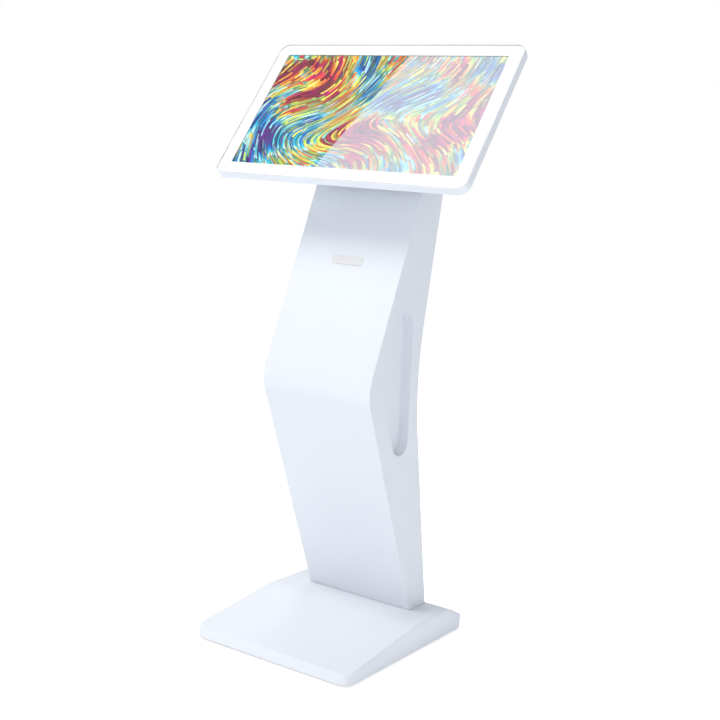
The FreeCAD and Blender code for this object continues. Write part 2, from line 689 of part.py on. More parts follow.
def sheet_profile(outer, inner, low, high):
    """Bent sheet in the side view: outer lines up, inner lines down, bends marked."""
    bend_out, bend_in = outer[0].meet(outer[1]), inner[0].meet(inner[1])
    return [(outer[0].at(low), low), bend_out, outer[1].meet(high),
            inner[1].meet(high), bend_in, (inner[0].at(low), low)]


def column_panels():
    """Bent front and rear panels and the two flat side panels between them."""
    top = behind_glass("D.hump_rear")
    sheet = "D.column_sheet"
    reach = num(HALF)

    def long_edge(edge):
        box = edge.BoundBox
        return box.XLength < 0.001 and abs(abs(box.XMin) - reach) < 0.01

    front = Piece("column_front_panel")
    points = sheet_profile((front_lower(), front_upper()), (front_lower(sheet), front_upper(sheet)),
                           FLANGE_TOP, top)
    radii = [None, "D.knee_radius", None, None, f"D.knee_radius - {sheet}", None]
    front.prism([Outline(points, radii)], f"-{HALF}", HALF, plane="YZ")
    bulge = num("D.knee_radius*(1/cos((D.front_lower_lean + D.front_upper_lean)/2) - 1)")

    def front_outer(edge):
        """The long edges of the outer face: straight ones lie on it, the arc bulges inside its knee."""
        if not long_edge(edge) or edge.BoundBox.ZLength < 2*num(sheet):
            return False
        middle = edge.valueAt((edge.FirstParameter + edge.LastParameter)/2)
        line = front_lower() if middle.z < num("D.knee_z") else front_upper()
        inset = middle.y - num(line.at(str(middle.z)))
        bent = not isinstance(edge.Curve, Part.Line)
        return inset < num(sheet)/2 + (bulge if bent else 0)

    front.fillet("D.column_round", front_outer)

    rear = Piece("rear_panel_blank")
    points = sheet_profile((rear_lower(), rear_upper()), (rear_lower(sheet), rear_upper(sheet)),
                           FLANGE_TOP, top)
    radii = [None, "D.bend_radius", None, None, f"D.bend_radius + {sheet}", None]
    rear.prism([Outline(points, radii)], f"-{HALF}", HALF, plane="YZ")
    for side, i in (("left", -1), ("right", 1)):
        panel = Piece(f"column_{side}_panel")
        outline = Outline([
            (front_lower(sheet).at(FLANGE_TOP), FLANGE_TOP),
            front_lower(sheet).meet(front_upper(sheet)),
            front_upper(sheet).meet(top), rear_upper(sheet).meet(top),
            rear_lower(sheet).meet(rear_upper(sheet)),
            (rear_lower(sheet).at(FLANGE_TOP), FLANGE_TOP)],
            [None, f"D.knee_radius - {sheet}", None, None, f"D.bend_radius + {sheet}", None])
        low, high = side_span(i, "0", sheet)
        panel.prism([outline], low, high, plane="YZ")
        panel.cut([recess_outline("0")], low, high, plane="YZ")
    return rear


def side_span(sign, outer, inner):
    """Levels along X between two depths under a side face, low one first."""
    if sign > 0:
        return f"({HALF} - ({inner}))", f"({HALF} - ({outer}))"
    return f"(({outer}) - {HALF})", f"(({inner}) - {HALF})"


def recess_outline(grow):
    """Recess in the side view: front sides follow the column's front, moved outwards by grow."""
    upper = front_upper(f"D.recess_upper_margin - ({grow})")
    lower = front_lower(f"D.recess_lower_margin - ({grow})")
    top, bottom = f"(D.recess_top + ({grow}))", f"(D.recess_bottom - ({grow}))"
    rear_top = f"({rear_upper().at('D.recess_top')} - D.recess_rear_margin + ({grow}))"
    rear_low = f"({rear_lower().at('D.recess_bottom')} - D.recess_rear_margin + ({grow}))"
    corner, knee = f"D.recess_corner + ({grow})", f"D.recess_knee + ({grow})"
    return Outline([(upper.at(top), top), (rear_top, top), (rear_low, bottom),
                    (lower.at(bottom), bottom), upper.meet(lower)],
                   [corner, corner, corner, corner, knee])


def recess_pans():
    """Pans behind the side openings: flange, walls and floor."""
    sheet, pan = "D.column_sheet", "D.pan_sheet"
    for side, i in (("left", -1), ("right", 1)):
        piece = Piece(f"recess_pan_{side}")
        low, high = side_span(i, sheet, f"{sheet} + {pan}")
        piece.prism([recess_outline(f"{pan} + D.pan_flange")], low, high, plane="YZ")
        low, high = side_span(i, sheet, f"D.recess_depth + {pan}")
        piece.prism([recess_outline(pan)], low, high, plane="YZ")
        low, high = side_span(i, sheet, "D.recess_depth")
        piece.cut([recess_outline("0")], low, high, plane="YZ")


def column_ends():
    """Foot flange and the top plate that the head is bolted to."""
    foot = Piece("column_foot_flange")
    foot.prism([centred(FLANGE_W, "D.flange_depth", "8", y=FLANGE_MID)], PLATE_TOP, FLANGE_TOP)
    foot.cut(rings(flange_bolts(), "D.bolt_radius + D.shaft_gap"), PLATE_TOP, FLANGE_TOP)
    top = Piece("column_top_plate", "head")
    rear, far = "D.hump_rear", "(D.hump_rear + D.top_plate)"
    low = f"({up_screen(front_upper('D.column_sheet'), rear)} + 1)"
    high = f"({up_screen(rear_upper('D.column_sheet'), far)} - 1)"
    side = f"({HALF} - D.column_sheet)"
    top.prism([rect(f"-{side}", low, side, high)], f"-{far}", f"-{rear}")
    top.cut(rings(head_bolts(), "D.head_bolt + 0.25") + [Ring("D.lead_x", "D.lead_hole_up", "D.lead_hole")],
            f"-{far}", f"-{rear}")


def head_bolts():
    """Places of the four bolts that carry the head."""
    return [(f"{i}*D.head_bolt_x", y) for i in SIGNS for y in ("D.head_bolt_low", "D.head_bolt_high")]


def column_trim():
    """Blank badge plate, hatch cover and the openings in the rear panel."""
    badge = Piece("badge_plate", "front")
    badge.prism([centred("D.badge_width", "D.badge_height", "D.badge_corner", y="D.badge_along")],
                "0", "D.badge_thick")
    badge.fillet("D.trim_round", level(num("D.badge_thick")))
    hatch = Piece("rear_hatch", "hatch")
    hatch.prism([centred("D.hatch_width", "D.hatch_height", "5", y="-D.hatch_up")], "0", "D.hatch_thick")
    hatch.fillet("D.trim_round", level(num("D.hatch_thick")))
    hatch.cut(rings(hatch_screws(), "D.screw_radius + D.screw_gap"), "0", "D.hatch_thick")


def hatch_screws():
    """Places of the hatch cover's screws, in the hatch frame."""
    x = "(D.hatch_width/2 - D.hatch_lap/2)"
    y = "(D.hatch_height/2 - D.hatch_lap/2)"
    return [(f"{i}*{x}", f"-D.hatch_up + {j}*{y}") for i in SIGNS for j in SIGNS]


def cutter(label, frame, loops, low, high):
    """Tool body for an opening that is cut at an angle; it isn't a sub-part."""
    tool = Piece(label, frame)
    PIECES.remove(tool.body)
    tool.prism(loops, low, high)
    return tool.body


def open_rear_panel(rear):
    """Cut the door, hatch, inlet and switch openings and screw holes through the bent rear panel."""
    through = "(D.column_sheet + 3)"
    door = door_outline("D.door_gap", "D.door_corner + D.door_gap")
    inlet = centred("D.inlet_body_width + 0.4", "D.inlet_body_height + 0.4",
                    x="D.inlet_x", y="D.inlet_down")
    switch = centred("D.rocker_width - D.rocker_rim*2 + 0.4", "D.rocker_height - D.rocker_rim*2 + 0.4",
                     x="D.rocker_x", y="D.inlet_down")
    low_tool = cutter("lower_openings", "rear", [door, inlet, switch] + inlet_screws(), f"-{through}", "3")
    hatch = centred("D.hatch_width - 2*D.hatch_lap", "D.hatch_height - 2*D.hatch_lap", "6",
                    y="-D.hatch_up")
    screws = rings(hatch_screws(), "D.screw_radius + D.shaft_gap")
    high_tool = cutter("upper_openings", "hatch", [hatch] + screws, f"-{through}", "3")
    tools = DOC.addObject("Part::MultiFuse", "rear_openings")
    tools.Shapes = [low_tool, high_tool]
    subtract("column_rear_panel", rear, tools)


def subtract(label, piece, tool):
    """Make a sub-part of a body with a tool taken out of it."""
    cut = DOC.addObject("Part::Cut", label)
    cut.Base, cut.Tool = piece.body, tool
    PIECES.remove(piece.body)
    cut.Label = label
    PIECES.append(cut)


def door_outline(grow, radius):
    """Outline round the door, in the rear frame."""
    half = f"(D.door_width/2 + ({grow}))"
    return rect(f"-{half}", f"D.door_down - ({grow})", half, f"D.door_down + D.door_height + ({grow})",
                radius)


def inlet_screws():
    """Screw holes beside the power inlet."""
    return [Ring(f"D.inlet_x + {i}*D.inlet_screw_x", "D.inlet_down", "D.screw_radius + D.shaft_gap")
            for i in SIGNS]


# ---------------------------------------------------------------- rear door

def door_parts():
    """Door frame, seal and the folded door."""
    gap, sheet = "D.door_gap", "D.column_sheet"
    frame = Piece("door_frame", "rear")
    inner = door_outline(gap, f"D.door_corner + {gap}")
    frame.prism([door_outline(f"{gap} + D.frame_border", "6"), inner], f"-2*{sheet}", f"-{sheet}")
    wall = door_outline(f"{gap} + {sheet}", f"D.door_corner + {gap} + {sheet}")
    frame.prism([wall, inner], "-D.frame_depth", f"-2*{sheet}")
    lip = door_outline(f"{gap} - D.frame_lip", None)
    frame.prism([door_outline(f"{gap} + {sheet}/2", None), lip], "-D.frame_depth",
                f"-D.frame_depth + {sheet}")
    seal = Piece("door_seal", "rear")
    seal_low = f"(-D.frame_depth + {sheet})"
    seal.prism([door_outline("0.5", "D.door_corner"), door_outline("-4.5", None)], seal_low,
               f"{seal_low} + D.seal_thick")
    door = Piece("rear_door", "rear")
    door.prism([door_outline("0", "D.door_corner")], "-D.door_return", "0")
    door.fillet("0.8", level(0))
    door.cut([door_outline(f"-{sheet}", f"D.door_corner - {sheet}")], "-D.door_return", f"-{sheet}")
    door.cut([Ring("D.lock_x", LOCK_Y, "D.lock_barrel + 0.2")], f"-{sheet} - 1", "1")


LOCK_Y = "(D.door_down + D.door_height/2)"
HINGE_X = "(-(D.door_width + D.door_gap)/2)"


def hinge_middles():
    """Middles of the two hinges down the rear face."""
    reach = "(D.hinge_inset + D.hinge_long/2)"
    return [f"(D.door_down + {reach})", f"(D.door_down + D.door_height - {reach})"]


def door_hinges():
    """Two barrel hinges: frame leaves, door leaves and pins."""
    frame_spans, door_spans, pin_spans = [], [], []
    half, knuckle = "D.hinge_long/2", "D.hinge_long/6"
    for middle in hinge_middles():
        frame_spans.append((f"{middle} - {half}", f"{middle} - {knuckle} - D.knuckle_gap/2"))
        frame_spans.append((f"{middle} + {knuckle} + D.knuckle_gap/2", f"{middle} + {half}"))
        door_spans.append((f"{middle} - {knuckle} + D.knuckle_gap/2",
                           f"{middle} + {knuckle} - D.knuckle_gap/2"))
        pin_spans.append((f"{middle} - {half} - 1", f"{middle} + {half} + 1"))
    hinge_side("door_hinge_frame_leaves", frame_spans, -1)
    hinge_side("door_hinge_door_leaves", door_spans, 1)
    pins = Piece("door_hinge_pins", "rear")
    for low, high in pin_spans:
        pins.prism([Ring(HINGE_X, "D.hinge_rise", "D.hinge_pin")], low, high, plane="XZ")


def hinge_side(label, spans, side):
    """Leaves and knuckles of one side of the hinges, bored for the pins."""
    piece = Piece(label, "rear")
    edges = [HINGE_X, f"{HINGE_X} + {side}*D.leaf_width"]
    if side < 0:
        edges.reverse()
    for middle in hinge_middles():
        leaf = rect(edges[0], f"{middle} - D.hinge_long/2", edges[1], f"{middle} + D.hinge_long/2")
        piece.prism([leaf], "0", "D.leaf_thick")
    near = sorted([HINGE_X, f"{HINGE_X} + {side}*(D.hinge_barrel + D.knuckle_gap)"], key=num)
    taken = [(f"{m} - D.hinge_long/2", f"{m} + D.hinge_long/2") for m in hinge_middles()]
    notches = gaps_between(spans, taken)
    if notches:
        piece.cut([rect(near[0], low, near[1], high) for low, high in notches], "0", "D.leaf_thick")
    for low, high in spans:
        piece.prism([Ring(HINGE_X, "D.hinge_rise", "D.hinge_barrel")], low, high, plane="XZ")
    for low, high in taken:
        piece.cut([Ring(HINGE_X, "D.hinge_rise", "D.hinge_pin + D.shaft_gap")], low, high, plane="XZ")


def gaps_between(spans, taken):
    """Stretches of each hinge that this side's knuckles leave free."""
    free = []
    for low, high in taken:
        cursor = low
        inside = sorted((s for s in spans if num(low) - 0.01 <= num(s[0]) and num(s[1]) <= num(high) + 0.01),
                        key=lambda s: num(s[0]))
        for start, end in inside:
            if num(start) - num(cursor) > 0.01:
                free.append((cursor, start))
            cursor = end
        if num(high) - num(cursor) > 0.01:
            free.append((cursor, high))
    return free


def door_lock():
    """Cam lock: barrel through the door, nut, turning plug and cam."""
    at = ("D.lock_x", LOCK_Y)
    barrel = Piece("lock_barrel", "rear")
    barrel.prism([Ring(*at, "D.lock_flange"), Ring(*at, "D.lock_plug + D.shaft_gap")], "0",
                 "D.lock_flange_thick")
    barrel.prism([Ring(*at, "D.lock_barrel"), Ring(*at, "D.lock_plug + D.shaft_gap")],
                 "-D.lock_depth", "0")
    nut = Piece("lock_nut", "rear")
    nut_low = "(-D.column_sheet - D.lock_nut_thick)"
    nut.prism([Ring(*at, "D.lock_nut"), Ring(*at, "D.lock_barrel + D.shaft_gap")], nut_low,
              "-D.column_sheet")
    plug = Piece("lock_plug", "rear")
    cam_top = "(-D.frame_depth - 0.5)"
    plug.prism([Ring(*at, "D.lock_plug")], cam_top, "D.lock_flange_thick + 0.4")
    slot = centred("1.6", "7", x=at[0], y=at[1])
    plug.cut([slot], "D.lock_flange_thick - 5", "D.lock_flange_thick + 0.4")
    cam = Piece("lock_cam", "rear")
    arm = rect(f"{at[0]} - D.cam_half", f"{at[1]} - D.cam_half", f"{at[0]} + D.cam_half",
               f"{at[1]} + D.cam_long", "3")
    cam.prism([arm], f"{cam_top} - D.cam_thick", cam_top)


# ---------------------------------------------------------------- power

def power_inlet():
    """Panel inlet: flange, hollow body and three contact pins."""
    x, y = "D.inlet_x", "D.inlet_down"
    piece = Piece("power_inlet", "rear")
    piece.prism([centred("D.inlet_width", "D.inlet_height", "6", x, y)], "0", "D.inlet_flange")
    piece.prism([centred("D.inlet_body_width", "D.inlet_body_height", "2", x, y)],
                "-D.inlet_body_deep", "0")
    socket = centred("D.inlet_body_width - 2*D.inlet_wall", "D.inlet_body_height - 2*D.inlet_wall",
                     "1.5", x, y)
    floor = "(-D.inlet_body_deep + D.inlet_wall)"
    piece.cut([socket], floor, "D.inlet_flange")
    places = [(f"{x} + {i}*D.inlet_pin_pitch", f"{y} + {j}*D.inlet_pin_step")
              for i, j in ((-1, 1), (0, -1), (1, 1))]
    pins = [centred("D.inlet_pin_wide", "D.inlet_pin_tall", None, *place) for place in places]
    piece.prism(pins, floor, f"{floor} + D.inlet_pin_long")
    piece.cut(inlet_screws(), "0", "D.inlet_flange")


def rocker_switch():
    """Switch frame with its body, and the rocker that tilts in it."""
    x, y = "D.rocker_x", "D.inlet_down"
    width, height = "(D.rocker_width - 2*D.rocker_rim)", "(D.rocker_height - 2*D.rocker_rim)"
    frame = Piece("rocker_frame", "rear")
    frame.prism([centred("D.rocker_width", "D.rocker_height", "1.5", x, y)], "0", "D.rocker_rim")
    frame.prism([centred(width, height, None, x, y)], "-D.rocker_deep", "0")
    well = centred(f"{width} - D.rocker_rim", f"{height} - D.rocker_rim", None, x, y)
    frame.cut([well], "-D.rocker_deep + D.rocker_rim", "D.rocker_rim")
    rocker = Piece("rocker_paddle", "rear")
    half = f"(({height} - D.rocker_rim)/2 - D.rocker_gap - 0.6)"
    rise, drop = "D.rocker_rise", "D.rocker_drop"
    corners = []
    for across, up in ((f"-{half}", rise), ("0", "D.rocker_dip"), (half, rise), (half, f"-{drop}"),
                       (f"-{half}", f"-{drop}")):
        turned_y = f"{y} + ({across})*cos(D.rocker_tilt) - ({up})*sin(D.rocker_tilt)"
        turned_z = f"({across})*sin(D.rocker_tilt) + ({up})*cos(D.rocker_tilt)"
        corners.append((turned_y, turned_z))
    span = f"({width} - D.rocker_rim)/2 - D.rocker_gap"
    rocker.prism([Outline(corners)], f"{x} - ({span})", f"{x} + ({span})", plane="YZ")


def supply_box():
    """Junction box on the foot flange, inside the column."""
    piece = Piece("supply_box")
    piece.prism([centred("D.box_width", "D.box_deep", "3", y="D.box_y")], FLANGE_TOP,
                f"{FLANGE_TOP} + D.box_tall")
    piece.shell("2", flat_face(num(FLANGE_TOP)))


def lead_route():
    """Corner points of the supply lead in the side view, from the box up into the head."""
    box_top = num(f"{FLANGE_TOP} + D.box_tall")
    rear, turn, up = num("D.hump_rear"), math.radians(num("D.head_tilt")), num("D.lead_hole_up")

    def middle(z):
        front = front_lower() if z < num("D.knee_z") else front_upper()
        back = rear_lower() if z < num("D.bend_z") else rear_upper()
        return (num(front.at(z)) + num(back.at(z)))/2

    def in_head(depth):
        return VECTOR(0, num("D.head_y") + depth*math.sin(turn) + up*math.cos(turn),
                      num("D.head_z") - depth*math.cos(turn) + up*math.sin(turn))

    entry = in_head(rear - num("D.mount_plate") - 16)
    low = in_head(rear + 25)
    points = [VECTOR(0, num("D.box_y"), box_top), VECTOR(0, num("D.box_y"), box_top + 45)]
    for z in (290, 545, 740, 930):
        points.append(VECTOR(0, middle(z) - (6 if z < 900 else 2), z))
    return points + [low, entry]


def rounded_path(points):
    """Wire of straight runs and tangent arcs through a list of corner points."""
    edges, start = [], points[0]
    for before, corner, after in zip(points, points[1:], points[2:]):
        back, ahead = (before - corner).normalize(), (after - corner).normalize()
        half = back.getAngle(ahead)/2
        turn = math.pi - 2*half
        shorter = min(before.distanceToPoint(corner), after.distanceToPoint(corner))
        radius = 0.45*shorter/math.tan(turn/2)
        print(f"supply lead: turn {math.degrees(turn):.0f} degrees, radius {radius:.0f} mm")
        reach = 0.45*shorter
        enter, leave = corner + back*reach, corner + ahead*reach
        centre = corner + (back + ahead).normalize()*(radius/math.sin(half))
        middle = centre + (corner - centre).normalize()*radius
        edges.append(Part.LineSegment(start, enter).toShape())
        edges.append(Part.Arc(enter, middle, leave).toShape())
        start = leave
    edges.append(Part.LineSegment(start, points[-1]).toShape())
    return Part.Wire(edges)


def supply_lead():
    """Round lead from the junction box to the head, and the clips that hold it."""
    path = rounded_path(lead_route())
    radius = num("D.lead_radius")
    start = path.Edges[0]
    ring = Part.Wire([Part.Circle(start.valueAt(start.FirstParameter), start.tangentAt(start.FirstParameter),
                                  radius).toShape()])
    tube = path.makePipeShell([ring], True, False)
    expected = math.pi*radius**2*path.Length
    print(f"supply lead: length {path.Length:.0f} mm, volume {tube.Volume:.0f} of {expected:.0f}")
    tube.translate(VECTOR(num("D.lead_x"), 0, 0))
    item = DOC.addObject("Part::Feature", "supply_lead")
    item.Label = "supply_lead"
    item.Shape = tube
    PIECES.append(item)


def lead_grommet():
    """Rubber grommet that carries the lead through the top plate."""
    piece = Piece("lead_grommet", "head")
    at = ("D.lead_x", "D.lead_hole_up")
    bore = Ring(*at, "D.lead_radius + 0.5")
    far = "(D.hump_rear + D.top_plate)"
    piece.prism([Ring(*at, "D.lead_hole - 0.2"), bore], f"-{far}", "-D.hump_rear + D.cover_skin")
    piece.prism([Ring(*at, "D.lead_hole + 3"), bore], f"-{far} - 2", f"-{far}")


# ---------------------------------------------------------------- display head

GLASS_W = "(D.screen_w + 2*D.glass_margin)"
GLASS_H = "(D.screen_h + 2*D.glass_margin)"
RIM = "(D.glass_gap + D.frame_wall)"


def stacked(label, grow, high, low, hole=None, radius=None):
    """Plate or ring in the display stack, sized from the picture; levels are depths behind the glass."""
    piece = Piece(label, "head")
    loops = [centred(f"D.screen_w + 2*({grow})", f"D.screen_h + 2*({grow})", radius)]
    if hole is not None:
        loops.append(centred(f"D.screen_w + 2*({hole})", f"D.screen_h + 2*({hole})"))
    piece.prism(loops, f"-({low})", f"-({high})")
    return piece


def display_stack():
    """Cover glass, printed border, touch sensor, bonding tape and the display module."""
    margin, corner = "D.glass_margin", "D.glass_corner"
    behind = "(D.glass_thick + D.print_thick)"
    glass = stacked("touch_glass", margin, "0", "D.glass_thick", radius=corner)
    glass.chamfer("0.4", level(0))
    stacked("glass_border", f"{margin} - 0.5", "D.glass_thick", behind, "D.print_reveal",
            f"{corner} - 0.5")
    stacked("touch_sensor", "D.sensor_wide", behind, f"{behind} + D.sensor_thick")
    tape_low = f"({behind} + D.tape_thick)"
    stacked("bonding_tape", f"{margin} - 1", behind, tape_low,
            f"{margin} - D.ledge_wide + 1", f"{corner} - 1")
    bezel_top = tape_low
    wall = "D.module_wall"
    bezel = stacked("module_bezel", "D.module_wide", bezel_top, f"D.module_rear - {wall} - 0.2")
    cavity = centred(f"D.screen_w + 2*(D.module_wide - {wall})", f"D.screen_h + 2*(D.module_wide - {wall})")
    bezel.cut([cavity], f"-D.module_rear + {wall} + 0.2", f"-({bezel_top} + 0.4)")
    bezel.cut([centred("D.screen_w + 2*D.print_reveal", "D.screen_h + 2*D.print_reveal")],
              f"-({bezel_top} + 0.4)", f"-{bezel_top}")
    cell_top = f"({bezel_top} + 0.5)"
    cell_low = f"({cell_top} + D.cell_thick)"
    stacked("display_cell", "D.cell_wide", cell_top, cell_low)
    stacked("light_guide", "D.cell_wide", f"{cell_low} + 0.2", f"D.module_rear - {wall} - 3")
    stacked("module_tray", "D.module_wide", f"D.module_rear - {wall}", "D.module_rear")


def head_frame():
    """Frame round the glass: side walls, ledge for the glass and rear flange."""
    piece = Piece("head_frame", "head")
    corner = f"D.glass_corner + {RIM}"
    outer = centred(f"{GLASS_W} + 2*{RIM}", f"{GLASS_H} + 2*{RIM}", corner)
    piece.prism([outer], "-D.frame_deep", "0")
    ledge_top = "(D.glass_thick + D.print_thick + D.tape_thick)"
    inside = f"{GLASS_W} + 2*D.glass_gap", f"{GLASS_H} + 2*D.glass_gap", f"D.glass_corner + D.glass_gap"
    piece.cut([centred(*inside)], f"-{ledge_top}", "0")
    opening = f"{GLASS_W} - 2*D.ledge_wide", f"{GLASS_H} - 2*D.ledge_wide"
    piece.cut([centred(*opening)], f"-({ledge_top} + D.ledge_thick)", f"-{ledge_top}")
    piece.cut([centred(*inside)], "-D.module_rear", f"-({ledge_top} + D.ledge_thick)")
    piece.cut([centred("D.window_w", "D.window_h")], "-D.frame_deep", "-D.module_rear")
    piece.fillet("D.frame_round", piece.outer_loop(0))
    piece.cut(rings(cover_screws(), "D.screw_radius + D.shaft_gap"), "-D.frame_deep", "-D.module_rear")
    return piece


def cover_screws():
    """Screws round the rear cover's flange."""
    x, y = "(D.cover_w/2 + D.cover_lap/2)", "(D.cover_h/2 + D.cover_lap/2)"
    sides = [(f"{i}*{x}", f"{j}*D.cover_h/4") for i in SIGNS for j in SIGNS]
    return sides + [(f"{i}*D.cover_w/3", f"{j}*{y}") for i in SIGNS for j in SIGNS]


def cover_solid(piece, inset, open_side):
    """Sloped tray with its raised middle, every face moved inwards by an inset."""
    slope = f"D.cover_slope - ({inset})*(2 - sqrt(2))"
    rear = f"(-D.cover_rear + {inset})"
    piece.prism([centred(f"D.cover_w - 2*{inset}", f"D.cover_h - 2*{inset}", f"D.cover_corner - {inset}")],
                rear, open_side)
    piece.chamfer(slope, level(num(rear)))
    piece.prism([centred(f"{HUMP_W} - 2*{inset}", f"D.hump_h - 2*{inset}", f"10 - {inset}")],
                f"-D.hump_rear + {inset}", f"{rear} + D.cover_slope")


def rear_cover():
    """Pressed cover: screw flange, sloped tray, raised middle, vents and holes."""
    skin = "D.cover_skin"
    outer = Piece("rear_cover_outer", "head")
    cover_solid(outer, "0", "-D.frame_deep")
    lap = centred("D.cover_w + 2*D.cover_lap", "D.cover_h + 2*D.cover_lap", "D.cover_corner + D.cover_lap")
    outer.prism([lap], f"-D.frame_deep - {skin}", "-D.frame_deep")
    outer.cut(rings(cover_screws(), "D.screw_radius + D.screw_gap"), f"-D.frame_deep - {skin}", "-D.frame_deep")
    lead = Ring("D.lead_x", "D.lead_hole_up", "D.lead_hole")
    outer.cut(rings(head_bolts(), "D.head_bolt + 0.25") + [lead], "-D.hump_rear", f"-D.hump_rear + {skin}")
    tray_holes = [Ring("D.key_x", "D.key_y", "D.key_radius + D.key_gap")]
    for sign in SIGNS:
        for row in range(int(num("D.vent_count"))):
            up = f"D.fan_y + ({row} - (D.vent_count - 1)/2)*D.vent_pitch"
            tray_holes.append(centred("D.vent_long", "D.vent_tall", None, f"{sign}*D.fan_x", up))
    outer.cut(tray_holes, "-D.cover_rear", f"-D.cover_rear + {skin}")
    inner = Piece("rear_cover_inside", "head")
    cover_solid(inner, skin, "-D.frame_deep + 1")
    subtract("rear_cover", outer, inner.body)
    PIECES.remove(inner.body)


def head_structure():
    """Steel plate in the raised middle, spine rails and the bolts through the column's top plate."""
    plate = Piece("head_mount_plate", "head")
    low = "(D.hump_rear - D.cover_skin)"
    high = f"({low} - D.mount_plate)"
    plate.prism([centred(f"{HUMP_W} - 24", "D.hump_h - 30", "8")], f"-{low}", f"-{high}")
    lead = Ring("D.lead_x", "D.lead_hole_up", "D.lead_hole")
    plate.cut(rings(head_bolts(), "D.head_bolt + D.shaft_gap") + [lead], f"-{low}", f"-{high}")
    rails = Piece("spine_rails", "head")
    end, waist = "(D.cover_h/2 - D.cover_skin - 1)", "(D.hump_h/2 - 16)"
    shallow = "(D.frame_deep + 24)"
    side = Outline([(f"-{end}", f"-{shallow}"), (f"-{waist}", f"-{shallow}"), (f"-{waist}", f"-{high}"),
                    (waist, f"-{high}"), (waist, f"-{shallow}"), (end, f"-{shallow}"),
                    (end, "-D.frame_deep"), (f"-{end}", "-D.frame_deep")])
    for sign in SIGNS:
        rails.prism([side], f"{sign}*D.spine_x - D.spine_thick/2", f"{sign}*D.spine_x + D.spine_thick/2",
                    plane="YZ")
        foot = rect(f"{sign}*D.spine_x - 12", f"-{waist}", f"{sign}*D.spine_x + 12", waist)
        rails.prism([foot], f"-{high}", f"-{high} + D.spine_thick")
    bolts = Piece("head_bolts", "head")
    rear = "(D.hump_rear + D.top_plate)"
    heads = [hexagon(x, y, "D.head_bolt_head") for x, y in head_bolts()]
    bolts.prism(heads, f"-{rear} - 5.3", f"-{rear}")
    bolts.prism(rings(head_bolts(), "D.head_bolt"), f"-{rear}", f"-{high}")
    nuts = [hexagon(x, y, "D.head_bolt_head") for x, y in head_bolts()]
    holder = Piece("head_nuts", "head")
    holder.prism([loop for loop in nuts], f"-{high}", f"-{high} + 6.5")
    holder.cut(rings(head_bolts(), "D.head_bolt + D.shaft_gap"), f"-{high}", f"-{high} + 6.5")


# chips and connectors on the main board: width, height and middle in the head
BOARD_BLOCKS = (("38", "38", "-20", "-30"), ("30", "12", "30", "-75"), ("16", "14", "60", "-20"),
                ("60", "8", "0", "0"))


def electronics():
    """Main board, power supply, speakers, fan and power key inside the rear cover."""
    floor = "(-D.cover_rear + D.cover_skin)"
    board = Piece("main_board", "head")
    plane = "-D.board_front"
    board.prism([centred("D.board_w", "D.board_h", "2", "D.board_x", "D.board_y")],
                f"{plane} - D.board_thick", plane)
    blocks = [centred(wide, tall, None, x, y) for wide, tall, x, y in BOARD_BLOCKS]
    board.prism(blocks, plane, f"{plane} + D.board_parts")
    supply = Piece("power_supply", "head")
    supply.prism([centred("D.supply_w", "D.supply_h", "2", "D.supply_x", "D.supply_y")], floor,
                 f"{floor} + D.supply_deep")
    speakers = Piece("speakers", "head")
    places = [(f"{i}*D.fan_x", "-D.cover_h/2 + D.speaker_up") for i in SIGNS]
    near = "(-D.frame_deep - D.speaker_gap)"
    back = f"({near} - D.speaker_deep)"
    speakers.prism([centred("D.speaker_w", "D.speaker_h", "4", x, y) for x, y in places], back, near)
    speakers.cut(rings(places, "D.speaker_cone"), back, f"{back} + D.speaker_well")
    speakers.prism(rings(places, "D.speaker_magnet"), f"{back} + D.speaker_well/2",
                   f"{back} + D.speaker_well + 1")
    key = Piece("power_key", "head")
    key.prism([Ring("D.key_x", "D.key_y", "D.key_radius")], "-D.cover_rear - D.key_proud", floor)
    key.fillet("D.key_round", level(num("-D.cover_rear - D.key_proud")))
    key.prism([Ring("D.key_x", "D.key_y", "D.key_radius + D.key_collar")], f"{floor} + D.key_play",
              f"{floor} + D.key_play + D.key_collar")
    key.prism([Ring("D.key_x", "D.key_y", "D.key_radius")], floor, f"{floor} + D.key_play")


def fan():
    """Cooling fan: square frame with a hub disc on arms, and the bladed rotor."""
    floor = "(-D.cover_rear + D.cover_skin)"
    top = f"({floor} + D.fan_deep)"
    at = ("D.fan_x", "D.fan_y")
    frame = Piece("fan_frame", "head")
    frame.prism([centred("D.fan_side", "D.fan_side", "D.fan_corner", *at), Ring(*at, "D.fan_bore")], floor, top)
    arm_low = f"({top} - D.fan_arm_thick)"
    for across, up in (("D.fan_side - 2", "D.fan_arm"), ("D.fan_arm", "D.fan_side - 2")):
        frame.prism([centred(across, up, None, *at)], arm_low, top)
    frame.prism([Ring(*at, "D.fan_hub")], arm_low, top)
    frame.prism([Ring(*at, "D.fan_axle")], f"{floor} + 4", arm_low)
    rotor = Piece("fan_rotor", "head")
    low, high = f"({floor} + 1)", f"({arm_low} - D.fan_play)"
    rotor.prism([Ring(*at, "D.fan_hub - 0.5")], low, high)
    rotor.cut([Ring(*at, "D.fan_axle + D.shaft_gap")], f"{low} + 1.5", high)
    blades = []
    for i in range(7):
        turn = 360*i/7
        corners = []
        for reach, lag in (("D.fan_hub - 1.5", 0), ("D.fan_tip", 26), ("D.fan_tip", 30), ("D.fan_hub - 1.5", 12)):
            corners.append((f"D.fan_x + ({reach})*cos({turn + lag})", f"D.fan_y + ({reach})*sin({turn + lag})"))
        blades.append(Outline(corners))
    for blade in blades:
        rotor.prism([blade], f"{low} + 1", f"{high} - 0.5")


